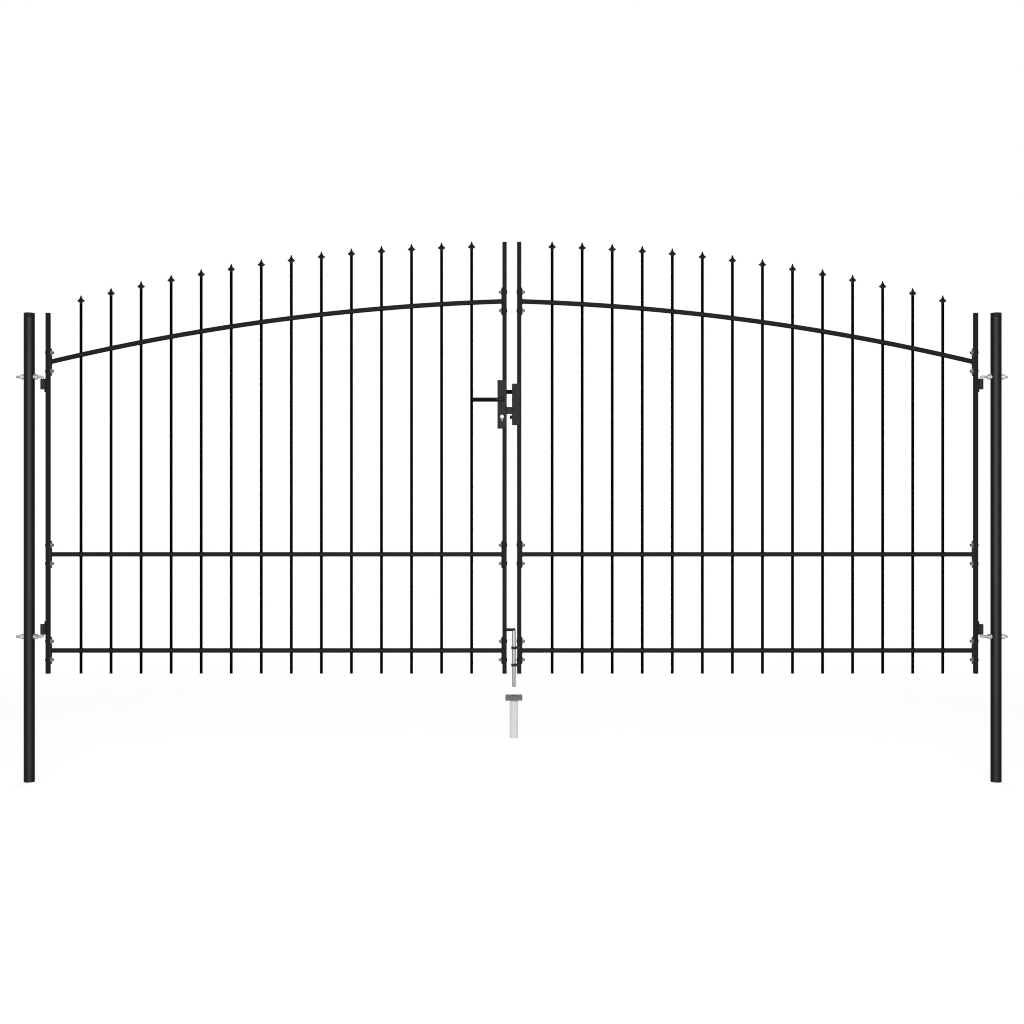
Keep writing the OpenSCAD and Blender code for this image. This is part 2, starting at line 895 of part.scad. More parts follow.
// a folded plate around the right meeting stile, slotted for the two bolts
module lock_keep() {
    color(coat_black)
        difference() {
            translate([0, 0, lock_middle - keep_height / 2])
                linear_extrude(height = keep_height)
                    difference() {
                        keep_plan(keep_x, tube_side + 2 * keep_plate, keep_bend);
                        keep_plan(keep_x + keep_plate, tube_side, keep_bend - keep_plate);
                    }
            keep_slot(latch_z, latch_height);
            keep_slot(dead_bolt_z, dead_bolt_height);
        }
}

module keep_buffer() {
    color(plastic_black)
        translate([keep_x - buffer_length, 0, lock_middle - buffer_drop])
            along_x()
                cylinder(d = buffer_diameter, h = buffer_length);
}

module drop_guide(z) {
    bore = drop_diameter / 2 + guide_clearance;
    translate([drop_x, drop_y, z - guide_height / 2])
        difference() {
            union() {
                cylinder(r = bore + guide_wall, h = guide_height);
                translate([0, drop_stand - guide_tab, 0])
                    cube([drop_clear + guide_lap, guide_tab, guide_height]);
            }
            translate([0, 0, -overcut])
                cylinder(r = bore, h = guide_height + 2 * overcut);
        }
}

module drop_bolt_guides() {
    color(coat_black) {
        drop_guide(upper_guide_height);
        drop_guide(lower_guide_height);
    }
}

module drop_rod() {
    foot = leaf_bottom - drop_reach;
    translate([drop_x, drop_y, foot])
        cylinder(d = drop_diameter, h = grip_height - grip_seat - foot);
}

module drop_bolt_rod() {
    color(galvanised)
        drop_rod();
}

module drop_bolt_grip() {
    color(plastic_black)
        difference() {
            translate([drop_x - grip_left, drop_y, grip_height])
                along_x()
                    cylinder(d = grip_diameter, h = grip_left + grip_right);
            drop_rod();
        }
}

module left_post() color(coat_black) post();
module right_post() color(coat_black) at_right_post() post();
module left_post_cap() color(plastic_black) post_cap();
module right_post_cap() color(plastic_black) at_right_post() post_cap();
module left_upper_hook_bolt() color(zinc) upper_hook_bolt();
module left_lower_hook_bolt() color(zinc) lower_hook_bolt();
module right_upper_hook_bolt() color(zinc) mirrored() upper_hook_bolt();
module right_lower_hook_bolt() color(zinc) mirrored() lower_hook_bolt();
module left_hook_nuts() color(zinc) hook_nuts();
module right_hook_nuts() color(zinc) at_right_post() hook_nuts();
module left_hinge_stile() color(coat_black) hinge_stile();
module left_stile_caps() color(plastic_black) stile_caps();
module left_upper_sleeve() color(coat_black) upper_sleeve();
module left_lower_sleeve() color(coat_black) lower_sleeve();
module left_bottom_rail() color(coat_black) straight_rail(bottom_rail_height);
module left_middle_rail() color(coat_black) straight_rail(middle_rail_height);
module left_arch_rail() color(coat_black) arched_rail();
module left_rail_plates() color(coat_black) rail_plates();
module left_pickets() color(coat_black) pickets();
module left_spear_tips() color(coat_black) spear_tips();
module left_frame_bolts() color(coat_black) frame_bolts();
module left_frame_nuts() color(zinc) frame_nuts();
module lock_front_cover() color(coat_black) lock_cover();
module lock_back_cover() color(coat_black) mirror([0, 1, 0]) lock_cover();
module front_lever() color(coat_black) lever();
module back_lever() color(coat_black) mirror([0, 1, 0]) lever();
module right_hinge_stile() color(coat_black) mirrored() hinge_stile();
module right_meeting_stile() color(coat_black) mirrored() meeting_stile();
module right_stile_caps() color(plastic_black) mirrored() stile_caps();
module right_upper_sleeve() color(coat_black) mirrored() upper_sleeve();
module right_lower_sleeve() color(coat_black) mirrored() lower_sleeve();
module right_bottom_rail() color(coat_black) mirrored() straight_rail(bottom_rail_height);
module right_middle_rail() color(coat_black) mirrored() straight_rail(middle_rail_height);
module right_arch_rail() color(coat_black) mirrored() arched_rail();
module right_rail_plates() color(coat_black) mirrored() rail_plates();
module right_pickets() color(coat_black) mirrored() pickets();
module right_spear_tips() color(coat_black) mirrored() spear_tips();
module right_frame_bolts() color(coat_black) mirrored() frame_bolts();
module right_frame_nuts() color(zinc) mirrored() frame_nuts();

// the lock case interrupts this stile
module left_meeting_stile() {
    color(coat_black)
        difference() {
            meeting_stile();
            translate([lock_x, 0, lock_middle])
                cube([2 * lock_width, 2 * lock_depth, lock_height], center = true);
        }
}

left_post();
right_post();
left_post_cap();
right_post_cap();
left_upper_hook_bolt();
left_lower_hook_bolt();
right_upper_hook_bolt();
right_lower_hook_bolt();
left_hook_nuts();
right_hook_nuts();
ground_socket_collar();
ground_socket_tube();
left_hinge_stile();
left_meeting_stile();
left_stile_caps();
left_upper_sleeve();
left_lower_sleeve();
left_bottom_rail();
left_middle_rail();
left_arch_rail();
left_rail_plates();
left_pickets();
left_spear_tips();
left_frame_bolts();
left_frame_nuts();
lock_case();
lock_front_cover();
lock_back_cover();
lock_screws();
key_cylinder();
front_lever();
back_lever();
lever_spindle();
latch_bolt();
dead_bolt();
right_hinge_stile();
right_meeting_stile();
right_stile_caps();
right_upper_sleeve();
right_lower_sleeve();
right_bottom_rail();
right_middle_rail();
right_arch_rail();
right_rail_plates();
right_pickets();
right_spear_tips();
right_frame_bolts();
right_frame_nuts();
lock_keep();
keep_buffer();
drop_bolt_guides();
drop_bolt_rod();
drop_bolt_grip();
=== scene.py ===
"""Driveway gate: smooth surfaces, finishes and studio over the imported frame.

Every new piece is a surface worked out as grids of points in millimetres, by the formula that
its docstring gives in words, and rides the CAD body whose nodes it stands for.
"""

import logging
import math
from dataclasses import dataclass, field
from enum import Enum
from typing import Iterable, Optional, Sequence, Union

import bmesh
import bpy
import numpy as np
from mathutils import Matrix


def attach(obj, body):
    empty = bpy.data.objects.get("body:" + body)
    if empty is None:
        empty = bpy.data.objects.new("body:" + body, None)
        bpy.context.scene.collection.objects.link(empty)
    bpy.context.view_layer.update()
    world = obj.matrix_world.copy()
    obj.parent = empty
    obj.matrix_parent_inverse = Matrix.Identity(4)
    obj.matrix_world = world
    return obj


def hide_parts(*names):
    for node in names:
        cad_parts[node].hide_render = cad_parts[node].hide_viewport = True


LOG = logging.getLogger("gate")
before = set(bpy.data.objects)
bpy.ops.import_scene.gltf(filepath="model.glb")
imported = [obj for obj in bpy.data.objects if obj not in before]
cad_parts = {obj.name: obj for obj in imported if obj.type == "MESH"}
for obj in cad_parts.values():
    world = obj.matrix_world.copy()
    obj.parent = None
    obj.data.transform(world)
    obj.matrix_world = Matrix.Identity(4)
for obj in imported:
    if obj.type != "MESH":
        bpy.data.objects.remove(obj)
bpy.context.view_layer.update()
MM = 0.001
TURN = 2.0 * math.pi
QUARTER = math.pi / 2.0
HEX_SECTOR = TURN / 6.0
SMOOTH_ANGLE = math.radians(34.0)
TINY = 1e-9
LEAST_EDGE = 1e-4
LEAST_MITRE = 0.4
SEAM = 0.05
SUNK = 0.3
BEAD_STEPS = 4
BOTH_WAYS = (-1.0, 1.0)
ORIGIN = (0.0, 0.0, 0.0)

UPRIGHT = np.eye(3)
FACING_FRONT = np.array([[1.0, 0.0, 0.0], [0.0, 0.0, 1.0], [0.0, -1.0, 0.0]])
FACING_BACK = np.array([[-1.0, 0.0, 0.0], [0.0, 0.0, 1.0], [0.0, 1.0, 0.0]])
ALONG_X = np.array([[0.0, 1.0, 0.0], [0.0, 0.0, 1.0], [1.0, 0.0, 0.0]])
AGAINST_X = np.array([[0.0, -1.0, 0.0], [0.0, 0.0, 1.0], [-1.0, 0.0, 0.0]])

Point = Sequence[float]
Profile = Sequence[tuple[float, float]]
Layer = tuple[np.ndarray, float]
Step = tuple[tuple[float, float], float, Union[float, np.ndarray]]


class End(Enum):
    """How a grid's first or last row closes, where it isn't drawn to a given point."""

    OPEN = "open"
    FLAT = "flat"


Ends = Sequence[Union[End, np.ndarray]]
BOTH_OPEN = (End.OPEN, End.OPEN)
BOTH_FLAT = (End.FLAT, End.FLAT)


class Side(Enum):
    """The two halves of the gate; the right one is the left one mirrored."""

    LEFT = "left"
    RIGHT = "right"

    @property
    def body(self) -> str:
        """The name of the half's leaf in the frame."""
        return f"{self.value}_leaf"


class Grain(Enum):
    """How a finish varies over a surface."""

    ORANGE_PEEL = "orange peel"
    MOULDED = "moulded"
    SPANGLE = "spangle"
    PLATED = "plated"


@dataclass(frozen=True)
class GateSizes:
    """Sizes that several sub-assemblies share, in millimetres."""

    post_spacing: float = 4022.0
    leaf_shift: float = -3.2
    post_top: float = 1950.03
    post_radius: float = 22.5
    leaf_bottom: float = 450.0
    tube: float = 18.0
    tube_wall: float = 1.5
    tube_corner: float = 3.0
    hinge_x: float = 56.3
    hinge_stile_x: float = 78.3
    meeting_gap: float = 43.0
    bottom_rail: float = 546.0
    middle_rail: float = 946.0
    arch_radius: float = 9450.0
    arch_crown: float = 2003.0
    arch_past_middle: float = 267.0
    point_radius: float = 7225.0
    point_crown: float = 2250.0
    meeting_stile_top: float = 2245.0
    plate: float = 4.0
    upper_hook: float = 1684.03
    lower_hook: float = 604.0
    hook_bend: float = 8.0
    drop_x: float = 2016.1
    drop_y: float = -21.0

    @property
    def middle(self) -> float:
        """Where the two leaves meet."""
        return self.post_spacing / 2.0 + self.leaf_shift

    @property
    def half_tube(self) -> float:
        """Half the side of the square tube."""
        return self.tube / 2.0

    @property
    def meeting_face(self) -> float:
        """The left meeting stile's face beside the gap."""
        return self.middle - self.meeting_gap / 2.0

    @property
    def meeting_stile_x(self) -> float:
        """The left meeting stile's axis."""
        return self.meeting_face - self.half_tube

    @property
    def panel_start(self) -> float:
        """The hinge stile's inner face."""
        return self.hinge_stile_x + self.half_tube

    @property
    def panel_end(self) -> float:
        """The meeting stile's inner face."""
        return self.meeting_face - self.tube

    def arch_height(self, x: Union[float, np.ndarray], offset: Union[float, np.ndarray] = 0.0) -> np.ndarray:
        """Height at x of a circle about the arch's centre: the root of its radius squared less the run's."""
        run = np.asarray(x) - (self.middle + self.arch_past_middle)
        return self.arch_crown - self.arch_radius + np.sqrt((self.arch_radius + offset) ** 2 - run**2)

    def point_height(self, x: float) -> float:
        """Height of the spear points' arc at a distance from the left post's axis."""
        run = x - self.middle
        return self.point_crown - self.point_radius + math.sqrt(self.point_radius**2 - run**2)

    def rail_heights(self, x: float) -> list[float]:
        """Heights of the three rails' axes at a distance from the left post's axis."""
        return [self.bottom_rail, self.middle_rail, float(self.arch_height(x))]


SIZES = GateSizes()
HOOKS = (("upper", SIZES.upper_hook, 1.0), ("lower", SIZES.lower_hook, -1.0))


def quarter(steps: int) -> np.ndarray:
    """Angles from nothing to a quarter turn in even steps."""
    return np.linspace(0.0, QUARTER, steps + 1)


def angles(count: int) -> np.ndarray:
    """Angles evenly around a turn."""
    return np.arange(count) * TURN / count


def directions(angle: np.ndarray) -> np.ndarray:
    """Points of the unit circle at angles: their cosines and sines."""
    return np.stack([np.cos(angle), np.sin(angle)], -1)


def hexagon(half_width: float, angle: np.ndarray) -> np.ndarray:
    """A hexagon's radius at angles: half its width over the cosine of the angle from the nearest flat."""
    return half_width / np.cos((angle + HEX_SECTOR / 2.0) % HEX_SECTOR - HEX_SECTOR / 2.0)


def place(points: np.ndarray, origin: Point, axes: np.ndarray) -> np.ndarray:
    """Local points in the row frame: the origin plus each coordinate along its axis."""
    return np.asarray(points, float) @ np.asarray(axes, float) + np.asarray(origin, float)


def rows_at(layers: Iterable[Layer]) -> np.ndarray:
    """Rows of points: each outline at its level along the third axis."""
    return np.stack([np.column_stack([outline, np.full(len(outline), level)]) for outline, level in layers])


def cells(ids: np.ndarray) -> np.ndarray:
    """The four corners of each cell in a grid of point numbers."""
    return np.stack([ids[:-1, :-1], ids[:-1, 1:], ids[1:, 1:], ids[1:, :-1]], -1)


def rounded_rect(width: float, depth: float, radius: float, steps: int = 5) -> np.ndarray:
    """A rectangle's outline with quarter circles at its corners, anticlockwise.

    Args:
        width: size along the first axis.
        depth: size along the second axis.
        radius: corner radius.
        steps: segments in each quarter circle.

    Returns:
        Points as rows of two numbers.
    """
    radius = min(radius, width / 2.0 - LEAST_EDGE, depth / 2.0 - LEAST_EDGE)
    quarters = []
    for k, signs in enumerate(((1, 1), (-1, 1), (-1, -1), (1, -1))):
        centre = np.array(signs) * (width / 2.0 - radius, depth / 2.0 - radius)
        quarters.append(centre + radius * directions(quarter(steps) + k * QUARTER))
    return np.concatenate(quarters)


def tube_outline(steps: int = 5) -> np.ndarray:
    """The outside of the leaves' square tube."""
    return rounded_rect(SIZES.tube, SIZES.tube, SIZES.tube_corner, steps)


def close_points(outline: np.ndarray, longest: float) -> np.ndarray:
    """A closed outline with points added evenly along its edges.

    Args:
        outline: the outline's corners.
        longest: the longest step between two points.

    Returns:
        Points as rows of two numbers.
    """
    edges = []
    for a, b in zip(outline, np.roll(outline, -1, 0)):
        count = max(1, math.ceil(np.linalg.norm(b - a) / longest))
        edges.append(np.linspace(a, b, count, endpoint=False))
    return np.concatenate(edges)


def inset(outline: np.ndarray, depth: float) -> np.ndarray:
    """An outline moved inwards along the mean normal of each point's two edges.

    Args:
        outline: anticlockwise outline.
        depth: distance that the edges move; outwards if it is less than nothing.

    Returns:
        Points as rows of two numbers.
    """
    edges = np.roll(outline, -1, 0) - outline
    normals = np.stack([-edges[:, 1], edges[:, 0]], -1)
    normals /= np.maximum(np.linalg.norm(normals, axis=1, keepdims=True), TINY)
    mean = normals + np.roll(normals, 1, 0)
    mean /= np.maximum((mean * normals).sum(1, keepdims=True), LEAST_MITRE)
    return outline + depth * mean


def soft_edge(radius: float, height: float, edge: float, steps: int = 4) -> list[tuple[float, float]]:
    """A turned profile's rounded outer corner, from its side up to its end: a quarter circle."""
    return [(radius - edge + edge * math.cos(a), height - edge + edge * math.sin(a)) for a in quarter(steps)]


def dome(radius: float, height: float, steps: int = 7) -> list[tuple[float, float]]:
    """A low spherical cap's profile from its rim to its pole, as an arc through both.

    Args:
        radius: radius of the rim.
        height: height of the pole over the rim.
        steps: segments in the arc.

    Returns:
        Pairs of radius and height.
    """
    sphere = (radius**2 + height**2) / (2.0 * height)
    edge = math.asin(min(1.0, radius / sphere))
    arc = np.linspace(edge, 0.0, steps + 1)[:-1]
    return [(sphere * math.sin(a), height - sphere + sphere * math.cos(a)) for a in arc] + [(0.0, height)]


def bend_path(start: float, bend: float, steps: int) -> list[tuple[tuple[float, float], float]]:
    """A quarter circle from the first axis to against the third: its points and the angle turned."""
    return [((start + bend * math.sin(a), bend * (math.cos(a) - 1.0)), a) for a in quarter(steps)[1:]]


def thread_rows(start: float, end: float, radius: float, pitch: float, depth: float,
                angle: np.ndarray) -> tuple[np.ndarray, np.ndarray]:
    """Radii of a screw thread over a grid of stations and angles.

    The radius falls from the crest by the depth times a triangle wave of the station in pitches
    less the angle in turns.

    Args:
        start: first station.
        end: last station.
        radius: crest radius.
        pitch: distance between crests.
        depth: height of the thread.
        angle: angles of the columns.

    Returns:
        The stations, and the radii as stations by angles.
    """
    rows_a_pitch, fewest = 6, 3
    stations = np.linspace(start, end, max(fewest, int((end - start) / pitch * rows_a_pitch)))
    wave = (stations[:, None] / pitch - angle[None] / TURN) % 1.0
    return stations, radius - depth * np.abs(2.0 * wave - 1.0)


class Surface:
    """Grid surfaces gathered into one mesh, in millimetres."""

    def __init__(self) -> None:
        """Starts without points or faces."""
        self._points: list[np.ndarray] = []
        self._faces: list[np.ndarray] = []
        self._count = 0

    def _put(self, points: np.ndarray) -> np.ndarray:
        """Adds points.

        Args:
            points: points in any layout.

        Returns:
            Their numbers in the same layout.
        """
        flat = np.asarray(points, float).reshape(-1, 3)
        ids = self._count + np.arange(len(flat))
        self._points.append(flat)
        self._count += len(flat)
        return ids.reshape(np.asarray(points).shape[:-1])

    def _fan(self, loop: np.ndarray, centre: np.ndarray) -> None:
        """Closes a loop with triangles to one new point.

        Args:
            loop: numbers of the loop's points.
            centre: the new point.
        """
        pole = self._put(np.asarray(centre, float)[None])[0]
        no_fourth = np.full_like(loop, -1)
        self._faces.append(np.stack([loop, np.roll(loop, -1), np.full_like(loop, pole), no_fourth], -1))

    def grid(self, points: np.ndarray, ring: bool = False, ends: Ends = BOTH_OPEN) -> "Surface":
        """Joins rows of points into four-sided faces; each row's last point joins its first.

        Args:
            points: rows by columns by three numbers.
            ring: whether the last row joins the first.
            ends: what closes the first and last rows: nothing, their own middle, or a given point.

        Returns:
            The surface itself.
        """
        ids = self._put(points)
        rows = np.vstack([ids, ids[:1]]) if ring else ids
        self._faces.append(cells(np.hstack([rows, rows[:, :1]])).reshape(-1, 4))
        for end, row in zip(ends, (0, -1)):
            if end is not End.OPEN:
                centre = points[row].mean(0) if end is End.FLAT else end
                self._fan(ids[row] if row else ids[row][::-1], centre)
        return self

    def layers(self, layers: Iterable[Layer], origin: Point, axes: np.ndarray, ring: bool = False,
               ends: Ends = BOTH_OPEN) -> "Surface":
        """Joins outlines that stand at levels along the third local axis, closed as a grid is."""
        return self.grid(place(rows_at(layers), origin, axes), ring, ends)

    def sheet(self, outer: np.ndarray, inner: np.ndarray, kept: np.ndarray) -> "Surface":
        """A plate between two grids of points, with a wall wherever a kept cell meets none.

        Args:
            outer: rows by columns of points on the plate's outside.
            inner: the same points on its inside.
            kept: which cells of the grid the plate has.

        Returns:
            The surface itself.
        """
        out, ins = self._put(outer), self._put(inner)
        for ids in (out, ins):
            self._faces.append(cells(ids)[kept])
        near = np.pad(kept, 1)
        across = near[:-1, 1:-1] != near[1:, 1:-1]
        along = near[1:-1, :-1] != near[1:-1, 1:]
        for a, b, wall in ((np.s_[:, :-1], np.s_[:, 1:], across), (np.s_[:-1], np.s_[1:], along)):
            self._faces.append(np.stack([out[a][wall], out[b][wall], ins[b][wall], ins[a][wall]], -1))
        return self

    def prism(self, outline: np.ndarray, low: float, high: float, bevel: float, origin: Point,
              axes: np.ndarray, centre: Point = (0.0, 0.0), steps: int = 3) -> "Surface":
        """An outline carried straight, with quarter-round edges at both ends.

        The edge's rows lie at inset bevel times one less the sine, and at height bevel times one
        less the cosine, of an angle from nothing to a quarter turn.

        Args:
            outline: anticlockwise outline in the first two local axes.
            low: start along the third local axis.
            high: end along the third local axis.
            bevel: radius of the edges.
            origin: place of the local origin.
            axes: the local axes as rows.
            centre: a point of the outline that sees all of it.
            steps: segments in each edge.

        Returns:
            The surface itself.
        """
        angle = quarter(steps)
        ins = bevel * (1.0 - np.sin(angle))
        rise = bevel * (1.0 - np.cos(angle))
        depths = np.concatenate([ins, ins[::-1]])
        levels = np.concatenate([low + rise, high - rise[::-1]])
        poles = place(np.array([[*centre, low], [*centre, high]]), origin, axes)
        return self.layers([(inset(outline, d), z) for d, z in zip(depths, levels)], origin, axes, ends=poles)

    def turned(self, profile: Profile, origin: Point, axes: np.ndarray, count: int,
               ring: bool = False) -> "Surface":
        """A profile of radius and height turned about the third local axis.

        Args:
            profile: pairs of radius and height; a radius of nothing at an end closes it.
            origin: place of the local origin.
            axes: the local axes as rows.
            count: segments around.
            ring: whether the profile closes on itself, as a tube's wall does.

        Returns:
            The surface itself.
        """
        points = np.array(profile, float)
        shut = [not ring and points[end, 0] < TINY for end in (0, -1)]
        poles = [place(np.array([0.0, 0.0, points[end, 1]]), origin, axes) if closed else End.OPEN
                 for end, closed in zip((0, -1), shut)]
        body = points[1 if shut[0] else 0:-1 if shut[1] else None]
        unit = directions(angles(count))
        return self.layers([(r * unit, z) for r, z in body], origin, axes, ring, poles)

    def sweep(self, path: Sequence[Step], origin: Point, axes: np.ndarray, count: int,
              ends: Ends = BOTH_FLAT) -> "Surface":
        """A circle carried along a path in the plane of the first and third local axes.

        A point of the circle stands off its centre by the radius times the angle's cosine along the
        second axis, and by the radius times its sine across the path, which is along the third axis
        where the path hasn't turned.

        Args:
            path: the circle's centres, each with the angle turned so far and the radius, which may be
                a row of radii around the circle.
            origin: place of the local origin.
            axes: the local axes as rows.
            count: segments around.
            ends: what closes the first and last circles, as in a grid.

        Returns:
            The surface itself.
        """
        around = angles(count)
        rows = []
        for (along, up), turn, radius in path:
            lift = radius * np.sin(around)
            rows.append(np.column_stack([along + lift * math.sin(turn), radius * np.cos(around),
                                         up + lift * math.cos(turn)]))
        return self.grid(place(np.stack(rows), origin, axes), ends=ends)

    def box_tube(self, low: float, high: float, origin: Point, axes: np.ndarray) -> "Surface":
        """The leaves' square tube: its outer outline up, then its inner outline down, as one ring.

        Args:
            low: start along the third local axis.
            high: end along the third local axis.
            origin: place of the local origin.
            axes: the local axes as rows.

        Returns:
            The surface itself.
        """
        inner = SIZES.tube - 2.0 * SIZES.tube_wall
        outside = tube_outline()
        inside = rounded_rect(inner, inner, SIZES.tube_corner - SIZES.tube_wall)
        layers = ((outside, low), (outside, high), (inside, high), (inside, low))
        return self.layers(layers, origin, axes, ring=True)

    def bead(self, outline: np.ndarray, leg: float, ripple: float, origin: Point,
             axes: np.ndarray) -> "Surface":
        """A weld around an outline where it meets a plane.

        The bead's section is a quarter circle of the leg's radius, closed through a corner sunk into
        both pieces, and the leg itself swells and shrinks as a sine of the distance along the outline.

        Args:
            outline: anticlockwise outline in the first two local axes.
            leg: mean size of the bead.
            ripple: share of the leg by which it swells.
            origin: place of the local origin, in the plane.
            axes: the local axes as rows, the third away from the plane.

        Returns:
            The surface itself.
        """
        short_wave, long_wave = 2.6, 0.9
        run = np.concatenate([[0.0], np.cumsum(np.linalg.norm(np.diff(outline, axis=0), axis=1))])
        size = leg * (1.0 + ripple * np.sin(run * short_wave) * np.cos(run * long_wave))
        out = inset(outline, -1.0) - outline
        rows = [np.column_stack([outline - SUNK * out, np.full(len(outline), -SUNK)])]
        for a in quarter(BEAD_STEPS):
            at = outline + out * (size * math.sin(a))[:, None]
            rows.append(np.column_stack([at, size * math.cos(a)]))
        return self.grid(place(np.stack(rows), origin, axes), ring=True)

    def hex_nut(self, width: float, height: float, bore: float, origin: Point, axes: np.ndarray,
                turn: float) -> "Surface":
        """A hexagon nut with chamfered corners, on the plane of its origin.

        The radius at an angle and height is the lesser of the hexagon's and that of a cone that
        leaves the end face just inside the flats and widens by the root of three for each unit of
        height.

        Args:
            width: distance across the flats.
            height: height of the nut.
            bore: radius of its hole.
            origin: place of the local origin.
            axes: the local axes as rows.
            turn: angle by which the nut is turned.

        Returns:
            The surface itself.
        """
        count, face_share = 72, 0.95
        rise = np.array([0.0, 0.3, 0.6, 0.9, 1.2, 1.6])
        flat = hexagon(width / 2.0, angles(count))
        unit = directions(angles(count) + turn)
        layers = [(unit * bore, 0.0)]
        for z in np.concatenate([rise, height - rise[::-1]]):
            cone = face_share * width / 2.0 + math.sqrt(3.0) * min(z, height - z)
            layers.append((unit * np.minimum(flat, cone)[:, None], z))
        layers.append((unit * bore, height))
        return self.layers(layers, origin, axes, ring=True)

    def washer(self, radius: float, bore: float, low: float, high: float, origin: Point,
               axes: np.ndarray) -> "Surface":
        """A flat ring with softened rims: a closed profile turned about its axis.

        Args:
            radius: outer radius.
            bore: radius of its hole.
            low: start along the third local axis.
            high: end along the third local axis.
            origin: place of the local origin.
            axes: the local axes as rows.

        Returns:
            The surface itself.
        """
        widest, share, count = 0.4, 0.3, 48
        edge = min(widest, (high - low) * share)
        profile = [(bore, low), (radius - edge, low), (radius, low + edge), (radius, high - edge),
                   (radius - edge, high), (bore, high)]
        return self.turned(profile, origin, axes, count, ring=True)

    def mirrored(self, about: float) -> "Surface":
        """The same surface on the other side of a plane across X.

        Args:
            about: where the plane crosses X.

        Returns:
            The new surface.
        """
        other = Surface()
        for points in self._points:
            flipped = points.copy()
            flipped[:, 0] = 2.0 * about - flipped[:, 0]
            other._points.append(flipped)
        other._faces = [f[:, [1, 0, 3, 2]] if f[0, 3] >= 0 else f[:, [1, 0, 2, 3]] for f in self._faces]
        other._count = self._count
        return other

    def mesh(self, name: str) -> bpy.types.Mesh:
        """The surface as a mesh in metres, smooth but for its sharp edges.

        Args:
            name: name of the mesh.

        Returns:
            The mesh, with its faces turned outwards.
        """
        points = np.concatenate(self._points) * MM
        faces = np.concatenate(self._faces)
        sides = np.where(faces[:, 3] < 0, 3, 4)
        corners = faces.ravel()[(np.arange(4)[None] < sides[:, None]).ravel()]
        mesh = bpy.data.meshes.new(name)
        mesh.vertices.add(len(points))
        mesh.vertices.foreach_set("co", points.ravel())
        mesh.loops.add(len(corners))
        mesh.loops.foreach_set("vertex_index", corners.astype(np.int32))
        mesh.polygons.add(len(faces))
        mesh.polygons.foreach_set("loop_start", np.concatenate([[0], np.cumsum(sides)[:-1]]).astype(np.int32))
        mesh.update(calc_edges=True)
        mesh.validate()
        work = bmesh.new()
        work.from_mesh(mesh)
        bmesh.ops.recalc_face_normals(work, faces=work.faces)
        work.to_mesh(mesh)
        work.free()
        mesh.shade_smooth()
        mesh.set_sharp_from_angle(angle=SMOOTH_ANGLE)
        return mesh


@dataclass
class Assembly:
    """A sub-assembly: it builds its pieces and gives each a finish.

    One that has a side is drawn for the left half and mirrored for the right one.
    """

    side: Optional[Side] = None
    body: str = "posts"
    pieces: list[tuple[bpy.types.Object, str]] = field(default_factory=list, init=False)

    def build(self) -> None:
        """Makes every piece."""
        raise NotImplementedError

    def add(self, name: str, surface: Surface, nodes: Sequence[str] = (), slot: str = "powder_coat",
            finish: str = "", body: str = "", about: float = SIZES.middle) -> None:
        """Makes a piece of a surface and ties it to the frame.

        Args:
            name: name of the new object, without its half.
            surface: its shape, as it is on the left half.
            nodes: CAD nodes that it stands for, without their half.
            slot: the record's material slot.
            finish: the finish, if it isn't the slot's own.
            body: the CAD body that it rides, if it isn't the assembly's own.
            about: the plane that mirrors it for the right half.
        """
        half = f"{self.side.value}_" if self.side else ""
        body = body or self.body
        nodes = [half + node for node in nodes]
        if self.side is Side.RIGHT:
            surface = surface.mirrored(about)
        obj = bpy.data.objects.new(half + name, surface.mesh(half + name))
        bpy.context.scene.collection.objects.link(obj)
        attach(obj, body)
        if nodes:
            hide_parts(*nodes)
        self.pieces.append((obj, finish or slot))

    def dress(self, finishes: dict[str, bpy.types.Material]) -> None:
        """Gives every piece the material of its finish.

        Args:
            finishes: the materials by name.
        """
        for obj, key in self.pieces:
            obj.data.materials.clear()
            obj.data.materials.append(finishes[key])
            LOG.info("%s: %s, %d faces", obj.name, key, len(obj.data.polygons))


